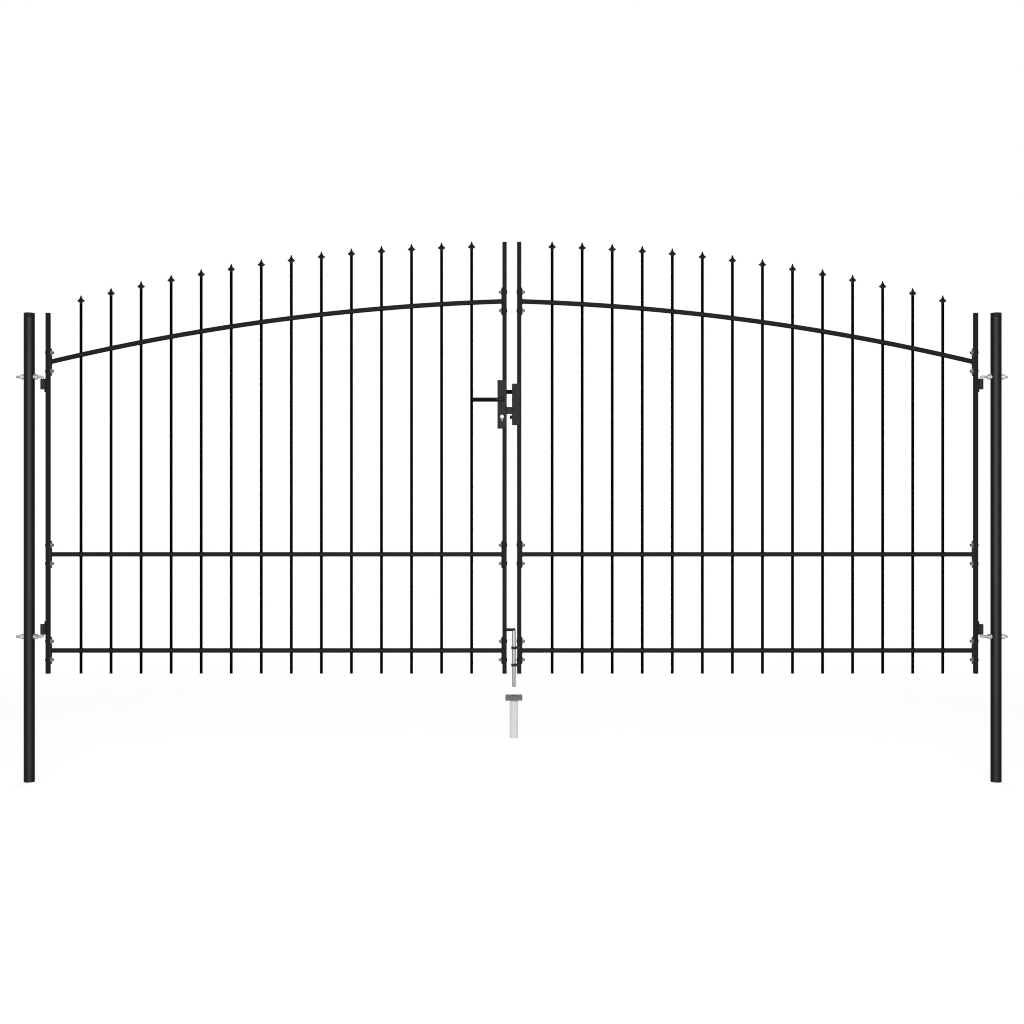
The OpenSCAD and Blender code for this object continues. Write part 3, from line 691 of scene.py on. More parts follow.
@dataclass
class PostAssembly(Assembly):
    """A post with its cap and the two hook bolts through it."""

    wall: float = 2.0
    rim: float = 0.6
    facets: int = 96
    cap_head: float = 17.0
    cap_edge: float = 2.0
    groove: float = 1.0
    hook_radius: float = 6.0
    hook_facets: int = 28
    hook_start: float = -54.2
    hook_lead: float = 4.4
    lead_slope: float = 1.2
    hidden_half: float = 19.0
    hidden_step: int = 12
    bend_steps: int = 12
    pin: float = 40.0
    pin_end: tuple[tuple[float, float], ...] = ((1.5, 1.0), (0.6, 0.93), (0.0, 0.8))
    thread_end: float = 42.0
    run_out: float = 1.0
    pitch: float = 1.75
    thread_depth: float = 0.85
    nut_width: float = 19.0
    nut_height: float = 10.8
    nut_bore: float = 6.1
    nut_turns: tuple[float, float, float] = (0.1, 0.05, -0.16)
    washer_radius: float = 12.0
    washer_bore: float = 6.2
    washer_edge: float = 0.4
    washer_facets: int = 60
    washer: float = 2.5
    washer_gap: float = 0.03

    def build(self) -> None:
        """Makes the tube, cap, hook bolts, shaped washers and nuts."""
        r, top, between = SIZES.post_radius, SIZES.post_top, SIZES.post_spacing / 2.0
        seat, bore, lip = top - self.cap_head, r - self.wall, r - self.groove
        tube = [(bore, 0.0), (r - self.rim, 0.0), (r, self.rim), (r, seat - self.groove), (lip, seat - SEAM),
                (bore, seat - SEAM)]
        cap = [(0.0, seat), (lip, seat), (r, seat + self.groove), *soft_edge(r, top, self.cap_edge),
               (0.0, top)]
        # the post's finish paints a highlight down its middle and shade on its flanks
        self.add("post_tube", Surface().turned(tube, ORIGIN, UPRIGHT, self.facets, ring=True), ["post"],
                 finish="post_coat_painted_highlight", about=between)
        self.add("post_plug_cap", Surface().turned(cap, ORIGIN, UPRIGHT, self.facets), ["post_cap"],
                 "cap_plastic", about=between)
        nuts = Surface()
        for k, (name, height, down) in enumerate(HOOKS):
            self.add(f"{name}_hook", self.hook(height, down), [f"{name}_hook_bolt"], "zinc_plate")
            for j, axes in enumerate((ALONG_X, AGAINST_X)):
                self.saddle(nuts, height, axes)
                at = (axes[2][0] * (r + self.washer), 0, height)
                turn = float(np.dot(self.nut_turns, (1.0, k, j)))
                nuts.hex_nut(self.nut_width, self.nut_height, self.nut_bore, at, axes, turn)
        self.add("hook_nuts_and_saddles", nuts, ["hook_nuts"], "zinc_plate", about=between)

    def hook(self, height: float, down: float) -> Surface:
        """A threaded bolt whose end bends into a pin.

        A circle is carried along a line, a quarter circle and a line. On the first line its
        radius follows the thread's triangle wave; at both ends it closes in.

        Args:
            height: height of the bolt's axis.
            down: 1 for a pin that points down, -1 for one that points up.

        Returns:
            The bolt's surface.
        """
        stations, radii = thread_rows(self.hook_start, self.thread_end, self.hook_radius, self.pitch,
                                      self.thread_depth, angles(self.hook_facets))
        shown = (np.abs(stations) > self.hidden_half) | (np.arange(len(stations)) % self.hidden_step == 0)
        stations, radii = stations[shown], radii[shown]
        radii = np.minimum(radii, self.hook_lead + self.lead_slope * (stations - self.hook_start)[:, None])
        end, foot = SIZES.hinge_x - SIZES.hook_bend, -SIZES.hook_bend - self.pin
        plain = np.full(self.hook_facets, self.hook_radius)
        path: list[Step] = [((s, 0.0), 0.0, radius) for s, radius in zip(stations, radii)]
        path += [((s, 0.0), 0.0, plain) for s in (self.thread_end + self.run_out, end)]
        path += [(at, turn, plain) for at, turn in bend_path(end, SIZES.hook_bend, self.bend_steps)]
        path += [((SIZES.hinge_x, foot + rise), QUARTER, plain * share) for rise, share in self.pin_end]
        return Surface().sweep(path, (0, 0, height), np.diag([1.0, 1.0, down]), self.hook_facets)

    def saddle(self, surface: Surface, height: float, axes: np.ndarray) -> None:
        """A round washer whose inner face lies on the post.

        Its inner face stands off the post's axis by the root of the post's radius squared less
        the square of the distance to the side.

        Args:
            surface: the surface to add to.
            height: height of the bolt's axis.
            axes: the local axes, the third away from the post.
        """
        unit = directions(angles(self.washer_facets))
        bore, rim, flat = self.washer_bore, self.washer_radius, SIZES.post_radius + self.washer
        rows = []
        for radius in (bore, rim):
            on_post = np.sqrt(SIZES.post_radius**2 - (radius * unit[:, 0]) ** 2) + self.washer_gap
            rows.append(np.column_stack([radius * unit, on_post]))
        edge = ((rim, flat - self.washer_edge), (rim - self.washer_edge, flat), (bore, flat))
        rows += list(rows_at((radius * unit, level) for radius, level in edge))
        surface.grid(place(np.stack(rows), (0, 0, height), axes), ring=True)


@dataclass
class LeafFrame(Assembly):
    """A leaf's stiles, rails, end plates, fixings and hinge sleeves."""

    cap: float = 3.0
    cap_edge: float = 0.9
    lock_foot: float = 1469.5
    lock_top: float = 1669.5
    arch_rows: int = 121
    plate_height: float = 113.0
    plate_width: float = 25.0
    plate_corner: float = 2.0
    plate_edge: float = 0.5
    bolt_spacing: float = 77.0
    bolt_radius: float = 4.0
    bolt_facets: int = 20
    bolt_pitch: float = 1.25
    bolt_thread: float = 0.6
    bolt_lead: float = 3.2
    lead_slope: float = 1.2
    bolt_end: float = 3.0
    in_nut: float = 1.0
    head_radius: float = 9.0
    head_height: float = 2.5
    head_brim: float = 0.5
    head_sunk: float = 0.02
    head_facets: int = 40
    nut_width: float = 13.0
    nut_height: float = 6.5
    nut_turns: tuple[float, float, float, float] = (0.3, 0.7, 1.1, 0.4)
    washer_radius: float = 12.0
    washer_bore: float = 4.2
    washer: float = 1.6
    sleeve_radius: float = 10.0
    sleeve_bore: float = 6.3
    sleeve_height: float = 43.0
    sleeve_gap: float = 0.5
    sleeve_rim: float = 0.6
    sleeve_mouth: float = 0.5
    sleeve_facets: int = 56
    pad: float = 4.0
    pad_height: float = 55.0
    pad_corner: float = 1.2
    bead_leg: float = 2.2
    bead_ripple: float = 0.14
    bead_step: float = 0.5
    bead_corner_steps: int = 6
    weld_leg: float = 2.6
    weld_ripple: float = 0.12
    weld_wave: float = 3.1
    weld_touch: float = 4.2
    weld_reach: float = 0.9
    weld_start: float = 0.2
    weld_stop: float = 0.8
    weld_rows: int = 90

    def build(self) -> None:
        """Makes every piece of the leaf's frame."""
        self.stiles()
        self.rails()
        self.plates()
        self.fixings()
        for name, height, down in HOOKS:
            self.sleeve(name, height, down)

    def stiles(self) -> None:
        """The two upright tubes, each with a cap pressed into its top; the lock parts one of them."""
        caps = Surface()
        for name, x, top in (("hinge", SIZES.hinge_stile_x, SIZES.post_top),
                             ("meeting", SIZES.meeting_stile_x, SIZES.meeting_stile_top)):
            cuts = [SIZES.leaf_bottom, top - self.cap]
            if name == "meeting" and self.side is Side.LEFT:
                cuts = [SIZES.leaf_bottom, self.lock_foot, self.lock_top, top - self.cap]
            stile = Surface()
            for low, high in zip(cuts[::2], cuts[1::2]):
                stile.box_tube(low, high, (x, 0, 0), UPRIGHT)
            # the tubes' finish paints shade on faces turned from the camera
            self.add(f"{name}_stile_tube", stile, [f"{name}_stile"], finish="tube_coat_painted_shade")
            caps.prism(tube_outline(), top - self.cap + SEAM, top, self.cap_edge, (x, 0, 0), UPRIGHT)
        self.add("stile_plugs", caps, ["stile_caps"], "cap_plastic")

    def rails(self) -> None:
        """Two straight tubes and an arched one.

        Each point of the arched tube's outline keeps its own distance from the arch's centre, so
        its height at a station is that circle's; both ends are cut upright.
        """
        start, end = SIZES.panel_start + SIZES.plate, SIZES.panel_end - SIZES.plate
        # the rails' finish paints shade on faces turned from the camera
        for name, height in (("bottom", SIZES.bottom_rail), ("middle", SIZES.middle_rail)):
            rail = Surface().box_tube(start, end, (0, 0, height), ALONG_X)
            self.add(f"{name}_rail_tube", rail, [f"{name}_rail"], finish="tube_coat_painted_shade")
        across, out = tube_outline().T
        rows = [np.column_stack([np.full(len(out), x), across, SIZES.arch_height(x, out)])
                for x in np.linspace(start, end, self.arch_rows)]
        arch = Surface().grid(np.stack(rows), ends=BOTH_FLAT)
        self.add("arched_rail_tube", arch, ["arch_rail"], finish="tube_coat_painted_shade")

    def plates(self) -> None:
        """The rails' end plates, each with the bead that welds its rail to it."""
        plates = Surface()
        plan = rounded_rect(self.plate_width, self.plate_height, self.plate_corner)
        tube = close_points(tube_outline(self.bead_corner_steps), self.bead_step)
        for x, axes in ((SIZES.panel_start, ALONG_X), (SIZES.panel_end, AGAINST_X)):
            inner = x + axes[2][0] * SIZES.plate
            for height in SIZES.rail_heights(x):
                plates.prism(plan, 0.0, SIZES.plate, self.plate_edge, (x, 0, height), axes)
                plates.bead(tube, self.bead_leg, self.bead_ripple, (inner, 0, height), axes)
        self.add("rail_end_plates", plates, ["rail_plates"])

    def fixings(self) -> None:
        """The domed bolts through stiles and plates, with their washers and nuts.

        A bolt is a turned head and, past the nut, a thread whose radius follows the triangle wave and
        closes in at the end.
        """
        bolts, nuts = Surface(), Surface()
        grip = SIZES.tube + SIZES.plate
        seat = grip + self.washer
        past = seat + self.nut_height
        around = angles(self.bolt_facets)
        stations, radii = thread_rows(past - self.in_nut, past + self.bolt_end, self.bolt_radius,
                                      self.bolt_pitch, self.bolt_thread, around)
        radii = np.minimum(radii, self.bolt_lead + self.lead_slope * (stations[-1] - stations)[:, None])
        thread = [(radius[:, None] * directions(around), s) for s, radius in zip(stations, radii)]
        r, brim = self.head_radius, self.head_brim
        squash = (self.head_height - brim) / self.head_height
        head = [(0.0, self.head_sunk), (r, self.head_sunk), (r, -brim),
                *[(radius, -brim - z * squash) for radius, z in dome(r, self.head_height)[1:]]]
        ends = ((SIZES.panel_start - SIZES.tube, ALONG_X, SIZES.panel_start),
                (SIZES.meeting_face, AGAINST_X, SIZES.panel_end))
        for k, (x, axes, rail_x) in enumerate(ends):
            for j, height in enumerate(SIZES.rail_heights(rail_x)):
                for side in BOTH_WAYS:
                    level = height + side * self.bolt_spacing / 2.0
                    at = (x, 0, level)
                    bolts.turned(head, at, axes, self.head_facets)
                    bolts.layers(thread, at, axes, ends=BOTH_FLAT)
                    nuts.washer(self.washer_radius, self.washer_bore, grip, seat, at, axes)
                    turn = float(np.dot(self.nut_turns, (1.0, k, j, side)))
                    nuts.hex_nut(self.nut_width, self.nut_height, self.bolt_radius,
                                 (x + axes[2][0] * seat, 0, level), axes, turn)
        self.add("frame_bolts", bolts, ["frame_bolts"])
        self.add("frame_nuts_and_washers", nuts, ["frame_nuts"], "zinc_plate", finish="zinc_dull")

    def sleeve(self, name: str, height: float, down: float) -> None:
        """A hinge sleeve on its pad, with a weld down each side.

        The sleeve is a closed profile turned about the pin's axis; each weld is a quarter circle, closed
        through a corner sunk into the pad and carried up it, whose radius swells as a sine of the height.

        Args:
            name: which of the leaf's two sleeves it is.
            height: height of its hook bolt's axis.
            down: 1 where the pin points down, -1 where it points up.
        """
        top = -SIZES.hook_bend - self.sleeve_gap
        foot = top - self.sleeve_height
        r, bore, rim = self.sleeve_radius, self.sleeve_bore, self.sleeve_rim
        mouth = bore + self.sleeve_mouth
        profile = [(mouth, foot), (r - rim, foot), (r, foot + rim), (r, top - rim), (r - rim, top),
                   (mouth, top), (bore, top - self.sleeve_mouth), (bore, foot + self.sleeve_mouth)]
        axes = np.diag([1.0, 1.0, down])
        shape = Surface().turned(profile, (SIZES.hinge_x, 0, height), axes, self.sleeve_facets, ring=True)
        start = SIZES.panel_start - SIZES.tube - self.pad
        pad = rounded_rect(SIZES.tube, self.pad_height, self.pad_corner)
        at = (start, 0, height + down * (top - self.pad_height / 2.0))
        shape.prism(pad, 0.0, self.pad, self.plate_edge, at, ALONG_X)
        levels = np.linspace(foot + self.weld_stop, top - self.weld_stop, self.weld_rows)
        leg = self.weld_leg * (1.0 + self.weld_ripple * np.sin(levels * self.weld_wave))
        up = height + down * levels
        for side in BOTH_WAYS:
            rows = [np.column_stack([start - leg * (1.0 - math.cos(a)) * self.weld_reach - self.weld_start,
                                     side * (self.weld_touch + leg * (1.0 - math.sin(a))), up])
                    for a in quarter(BEAD_STEPS)]
            corner = (np.full_like(up, start + SUNK), np.full_like(up, side * self.weld_touch))
            rows.append(np.column_stack([*corner, up]))
            shape.grid(np.stack(rows, 1), ends=BOTH_FLAT)
        self.add(f"{name}_hinge_sleeve", shape, [f"{name}_sleeve"])


@dataclass
class Infill(Assembly):
    """A leaf's pickets, their welds to the rails and their spear tips."""

    count: int = 14
    first: float = 215.3
    pitch: float = 125.0
    radius: float = 6.0
    wall: float = 1.0
    rim: float = 0.3
    facets: int = 36
    weld: float = 1.7
    weld_ripple: float = 0.12
    weld_waves: float = 9.0
    tip_height: float = 34.5
    reach: float = 16.0
    tip_facets: int = 64
    tip_rows: int = 40
    blade_power: float = 3.5
    tip_levels: tuple[float, ...] = (0.0, 0.08, 0.15, 0.22, 0.28, 0.33, 0.38, 0.45, 0.51, 0.57, 0.66, 0.76,
                                     0.88, 0.97)
    tip_reaches: tuple[float, ...] = (0.375, 0.40, 0.52, 0.78, 0.96, 1.0, 0.93, 0.71, 0.55, 0.44, 0.33, 0.26,
                                      0.17, 0.09)
    tip_cores: tuple[float, ...] = (0.375, 0.375, 0.37, 0.36, 0.355, 0.35, 0.345, 0.335, 0.32, 0.30, 0.26,
                                    0.21, 0.14, 0.075)

    def build(self) -> None:
        """Makes the pickets, welds and tips."""
        bars, welds, tips = Surface(), Surface(), Surface()
        r, bore, foot = self.radius, self.radius - self.wall, SIZES.leaf_bottom
        for x in [self.first + self.pitch * i for i in range(self.count)]:
            top = SIZES.point_height(x) - self.tip_height
            wall = [(bore, foot), (r - self.rim, foot), (r, foot + self.rim), (r, top), (bore, top)]
            bars.turned(wall, (x, 0, 0), UPRIGHT, self.facets, ring=True)
            self.rail_welds(welds, x)
            self.spear(tips, x, top)
        # the pickets' and welds' near-black finish is painted shade
        self.add("picket_tubes", bars, ["pickets"], finish="picket_coat_painted_shade")
        self.add("picket_welds", welds, finish="picket_coat_painted_shade")
        # the tips' finish paints a highlight on their front and shade at their outline
        self.add("spear_castings", tips, ["spear_tips"], finish="tip_coat_painted_highlight")

    def rail_welds(self, surface: Surface, x: float) -> None:
        """Rings of weld above and below each rail.

        A ring's section is a quarter circle between picket and rail, closed through a corner sunk into
        both; on the arched rail each point stands on the rail's own curve, and the leg swells as a sine
        of the angle.

        Args:
            surface: the surface to add to.
            x: distance of the picket's axis from the left post's axis.
        """
        around = angles(self.facets)
        leg = self.weld * (1.0 + self.weld_ripple * np.sin(around * self.weld_waves + x))
        sunk = np.full(self.facets, -SUNK)
        section = [(sunk, sunk), *[(leg * math.sin(a), leg * math.cos(a)) for a in quarter(BEAD_STEPS)]]
        for rail in (SIZES.bottom_rail, SIZES.middle_rail, None):
            for side in BOTH_WAYS:
                rows = []
                for out, up in section:
                    at = (self.radius + out)[:, None] * directions(around) + (x, 0.0)
                    offset = side * SIZES.half_tube
                    face = SIZES.arch_height(at[:, 0], offset) if rail is None else rail + offset
                    rows.append(np.column_stack([at, face + side * up]))
                surface.grid(np.stack(rows), ring=True)

    def spear(self, surface: Surface, x: float, foot: float) -> None:
        """A cast tip with four barbs.

        The radius at an angle and height is a core's plus the rest of the barb's reach times the
        absolute cosine of twice the angle to a power, where core and reach run through the listed
        shares at the listed levels.

        Args:
            surface: the surface to add to.
            x: distance of the picket's axis from the left post's axis.
            foot: height of the tip's foot.
        """
        last = self.tip_levels[-1]
        levels = np.unique(np.concatenate([np.linspace(0.0, last, self.tip_rows), self.tip_levels]))
        outer = np.interp(levels, self.tip_levels, self.tip_reaches) * self.reach
        inner = np.interp(levels, self.tip_levels, self.tip_cores) * self.reach
        around = angles(self.tip_facets)
        blade = np.abs(np.cos(2.0 * around)) ** self.blade_power
        radii = inner[:, None] + (outer - inner)[:, None] * blade[None]
        rows = [(radius[:, None] * directions(around), level * self.tip_height)
                for radius, level in zip(radii, levels)]
        point = np.array([x, 0.0, foot + self.tip_height])
        surface.layers(rows, (x, 0, foot), UPRIGHT, ends=(End.FLAT, point))


@dataclass
class Lock(Assembly):
    """The lock in the left meeting stile: case, covers, key cylinder, levers and bolts."""

    body: str = "left_leaf"
    width: float = 38.5
    height: float = 200.0
    depth: float = 30.0
    corner: float = 3.0
    edge: float = 0.8
    middle: float = 1569.5
    cover: float = 3.0
    margin: float = 2.0
    rim_width: float = 6.0
    rim_corner: float = 2.0
    rim_gap: float = 0.6
    rim_sunk: float = -0.2
    rim_side: float = 0.5
    rim_top: float = 0.8
    rim_bevel: float = 0.4
    rim_lead: float = 0.2
    lever_back: float = 41.0
    lever_z: float = 1589.5
    lever_reach: float = 126.0
    lever_radius: float = 6.0
    lever_facets: int = 36
    lever_bend: float = 11.0
    lever_bend_steps: int = 14
    lever_end_steps: int = 8
    neck_radius: float = 9.0
    neck_start: float = 18.6
    neck_straight: float = 3.0
    stand_off: float = 36.0
    cylinder_z: float = 1517.5
    cylinder_radius: float = 8.5
    cylinder_tail: float = 5.0
    cylinder_height: float = 33.0
    cylinder_face: float = 20.0
    cylinder_edge: float = 0.5
    head_points: int = 40
    tail_points: int = 16
    plug_facets: int = 48
    plug: tuple[tuple[float, float], ...] = ((0.0, -0.3), (5.8, -0.3), (5.8, 0.25), (5.5, 0.45), (0.0, 0.45))
    keyway_scale: float = 0.65
    keyway_rise: float = 0.5
    keyway_edge: float = 0.02
    keyway_centre: tuple[float, float] = (0.2, 0.0)
    keyway: tuple[tuple[float, float], ...] = (
        (-0.7, -3.6), (0.6, -3.6), (0.6, -1.2), (1.3, -0.4), (1.3, 1.2), (0.4, 2.0), (0.4, 3.4), (-0.8, 3.4),
        (-0.8, 1.4), (-0.1, 0.6), (-0.1, -0.6), (-0.7, -1.4))
    latch_z: float = 1621.5
    latch_height: float = 16.0
    latch_length: float = 52.0
    latch_reach: float = 12.0
    latch_nose: tuple[tuple[float, float], ...] = ((-1.0, -1.6), (0.0, -0.6), (-0.3, 0.0))
    latch_edge: float = 0.5
    dead_z: float = 1544.0
    dead_height: float = 29.0
    dead_length: float = 51.0
    dead_reach: float = 14.0
    bolt: float = 12.0
    screw_radius: float = 2.8
    screw_height: float = 1.6
    screw_inset: float = 5.2
    screw_facets: int = 48
    socket_half: float = 1.25
    socket_brim: float = 0.15
    socket_floor: float = 0.4

    @property
    def axis_x(self) -> float:
        """The case's middle."""
        return SIZES.meeting_face - self.width / 2.0

    @property
    def lever_x(self) -> float:
        """The levers' axis, which the key cylinder shares."""
        return SIZES.middle - self.lever_back

    def build(self) -> None:
        """Makes every piece of the lock."""
        half, face, at = self.height / 2.0, self.depth / 2.0, (self.axis_x, 0, self.middle)
        box = rounded_rect(self.width, self.depth, self.corner)
        case = Surface().prism(box, -half, half, self.edge, at, UPRIGHT)
        self.forend(case)
        self.add("lock_case_shell", case, ["lock_case"])
        plan = rounded_rect(self.width - 2.0 * self.margin, self.height - 2.0 * self.margin, self.corner)
        for name, axes in (("front", FACING_FRONT), ("back", FACING_BACK)):
            plate = Surface().prism(plan, face, face + self.cover, self.edge, at, axes)
            self.add(f"lock_{name}_plate", plate, [f"lock_{name}_cover"])
            # the lever's finish paints shade along its arm and light near its neck
            self.add(f"{name}_lever_handle", self.lever(axes), [f"{name}_lever"], finish="lever_coat_painted_shading",
                     body="lever")
        self.screws()
        self.key_cylinder()
        self.bolts()

    def forend(self, case: Surface) -> None:
        """Raised rims around the two bolts on the case's leading face: rings of rounded outline.

        Args:
            case: the surface to add to.
        """
        sunk, side, top = self.rim_sunk, self.rim_side, self.rim_top
        for z, tall in ((self.latch_z, self.latch_height), (self.dead_z, self.dead_height)):
            outer = rounded_rect(self.bolt + self.rim_width, tall + self.rim_width, self.rim_corner)
            inner = rounded_rect(self.bolt + self.rim_gap, tall + self.rim_gap, self.rim_gap)
            layers = ((outer, sunk), (outer, side), (inset(outer, self.rim_bevel), top),
                      (inset(inner, -self.rim_lead), top), (inner, side), (inner, sunk))
            case.layers(layers, (SIZES.meeting_face, 0, z), ALONG_X, ring=True)

    def lever(self, axes: np.ndarray) -> Surface:
        """A round lever handle.

        A circle is carried out of the lock, through a quarter circle and along the arm; its radius
        eases from the neck's to the arm's, and the arm's end is a half sphere.

        Args:
            axes: the lock's local axes, the third out of its face.

        Returns:
            The lever's surface.
        """
        neck, arm, out, start = self.neck_radius, self.lever_radius, self.stand_off, self.neck_start
        end = self.lever_reach - arm
        path: list[Step] = [((start, 0.0), 0.0, neck - self.edge)]
        path += [((d, 0.0), 0.0, neck)
                 for d in (start + self.edge, start + self.neck_straight, out - self.lever_bend)]
        path += [(at, turn, neck + (arm - neck) * turn / QUARTER)
                 for at, turn in bend_path(out - self.lever_bend, self.lever_bend, self.lever_bend_steps)]
        path.append(((out, -end), QUARTER, arm))
        path += [((out, -end - arm * math.sin(a)), QUARTER, arm * math.cos(a))
                 for a in quarter(self.lever_end_steps)[1:-1]]
        at, along = (self.lever_x, 0, self.lever_z), np.stack([axes[2], UPRIGHT[2], UPRIGHT[0]])
        tip = place(np.array([out, 0.0, -self.lever_reach]), at, along)
        return Surface().sweep(path, at, along, self.lever_facets, ends=(End.FLAT, tip))

    def screws(self) -> None:
        """Domed cover screws, each with a six-sided socket: its rows step inwards and then down."""
        heads = Surface()
        around = angles(self.screw_facets)
        unit = directions(around)
        six = hexagon(self.socket_half, around)[:, None] * unit
        layers = [(r * unit, z) for r, z in dome(self.screw_radius, self.screw_height)[:-2]]
        layers += [(six, z) for z in (self.screw_height - self.socket_brim, self.socket_floor)]
        x = SIZES.meeting_face - self.width + self.screw_inset
        face, rise = self.depth / 2.0 + self.cover, self.height / 2.0 - self.screw_inset
        for axes in (FACING_FRONT, FACING_BACK):
            for side in BOTH_WAYS:
                heads.layers(layers, (x, axes[2][1] * face, self.middle + side * rise), axes, ends=BOTH_FLAT)
        self.add("lock_cover_screws", heads, ["lock_screws"], "black_zinc", finish="latch_black")

    def key_cylinder(self) -> None:
        """The key cylinder: a circle over a narrow tail carried through, a turned plug, and on each face of
        the plug a thin near-black sheet in the keyway's outline: painted shade in place of the keyway's hole.
        """
        r, t, face = self.cylinder_radius, self.cylinder_tail, self.cylinder_face
        join = math.asin(t / r)
        head = np.linspace(join - QUARTER, 3.0 * QUARTER - join, self.head_points)
        tail = np.linspace(math.pi, TURN, self.tail_points)
        tail_at = (0.0, r - self.cylinder_height + t)
        outline = np.concatenate([r * directions(head), t * directions(tail) + tail_at])
        way = self.keyway_scale * np.array(self.keyway)
        at = (self.lever_x, 0, self.cylinder_z)
        body, plug, slot = Surface(), Surface(), Surface()
        body.prism(outline, -face, face, self.cylinder_edge, at, FACING_FRONT)
        for axes in (FACING_FRONT, FACING_BACK):
            plug.turned([(radius, face + z) for radius, z in self.plug], at, axes, self.plug_facets)
            # the keyway is no hole: a near-black sheet stands on the plug's face, painted shade in its place
            slot.prism(way, face, face + self.keyway_rise, self.keyway_edge, at, axes, self.keyway_centre,
                       steps=1)
        # the cylinder body's finish paints shade darkening down to its tail
        self.add("key_cylinder_body", body, ["key_cylinder"], "nickel_plate", finish="nickel_dull_painted_shade")
        self.add("key_cylinder_plug", plug, slot="nickel_plate")
        self.add("keyway_painted_shade", slot, slot="grip_rubber")

    def bolts(self) -> None:
        """The slant-nosed latch bolt and the square dead bolt: outlines carried on, edges rounded."""
        half, tall, long = self.bolt / 2.0, self.latch_height / 2.0, self.dead_length / 2.0
        tip = SIZES.middle + self.latch_reach
        butt = tip - self.latch_length
        nose = [(tip + x, half + y) for x, y in self.latch_nose]
        outline = np.array([(butt, -half), (tip - self.bolt, -half), *nose, (butt, half)])
        latch = Surface().prism(outline, -tall, tall, self.latch_edge, (0, 0, self.latch_z), UPRIGHT,
                                centre=((butt + tip) / 2.0, 0.0))
        self.add("latch_bolt_bar", latch, ["latch_bolt"], "black_zinc", finish="latch_black", body="latch")
        at = (SIZES.middle + self.dead_reach - long, 0, self.dead_z)
        bar = rounded_rect(self.bolt, self.dead_height, self.edge)
        dead = Surface().prism(bar, -long, long, self.edge, at, ALONG_X)
        self.add("dead_bolt_bar", dead, ["dead_bolt"], "black_zinc", body="dead_bolt_slider")


@dataclass
class Keep(Assembly):
    """The slotted keep folded around the right meeting stile, and its buffer."""

    body: str = "right_leaf"
    lock: Lock = field(default_factory=Lock)
    height: float = 171.5
    front: float = 2008.4
    end: float = 2040.9
    plate: float = 3.0
    bend: float = 4.5
    bend_steps: int = 8
    slot_half: float = 6.4
    slot_clearance: float = 3.0
    buffer_radius: float = 7.75
    buffer_length: float = 9.5
    buffer_drop: float = 53.0
    buffer_step: float = 0.7
    buffer_edge: float = 2.4
    buffer_edge_steps: int = 6
    buffer_foot: tuple[tuple[float, float], ...] = ((0.0, 1.6), (0.5, 2.1), (0.7, 2.6))
    buffer_facets: int = 40

    def build(self) -> None:
        """Makes the keep, whose slots take the lock's bolts, and the buffer."""
        lock, half = self.lock, self.height / 2.0
        dead = lock.dead_height / 2.0 + self.slot_clearance
        latch = lock.latch_height / 2.0 + self.slot_clearance
        levels = [lock.middle - half, lock.dead_z - dead, lock.dead_z + dead, lock.latch_z - latch,
                  lock.latch_z + latch, lock.middle + half]
        outer, inner = (rows_at((self.plan(depth), z) for z in levels) for depth in (0.0, self.plate))
        columns = outer.shape[1]
        kept = np.ones((len(levels) - 1, columns - 1), bool)
        kept[1::2, columns // 2 - 1] = False
        self.add("keep_plate", Surface().sheet(outer, inner, kept), ["lock_keep"])
        r, length = self.buffer_radius, self.buffer_length
        profile = [(0.0, 0.0), (r, 0.0), *[(r - step, z) for step, z in self.buffer_foot],
                   *soft_edge(r - self.buffer_step, length, self.buffer_edge, self.buffer_edge_steps),
                   (0.0, length)]
        at = (self.front, 0, lock.middle - self.buffer_drop)
        stop = Surface().turned(profile, at, AGAINST_X, self.buffer_facets)
        self.add("keep_buffer", stop, ["keep_buffer"], "grip_rubber")

    def plan(self, depth: float) -> np.ndarray:
        """The folded plate's plan: a line, a quarter circle and a line to each side of the slots' width.

        Args:
            depth: distance inside the plate's outside.

        Returns:
            Points as rows of two numbers, from one end to the other.
        """
        half, radius, front = SIZES.half_tube + self.plate - depth, self.bend - depth, self.front + depth
        curve = (front + radius, half - radius) + radius * directions(quarter(self.bend_steps)) * [-1, 1]
        side = np.vstack([[front, self.slot_half], curve, [self.end, half]])
        return np.concatenate([side[::-1], side * [1, -1]])


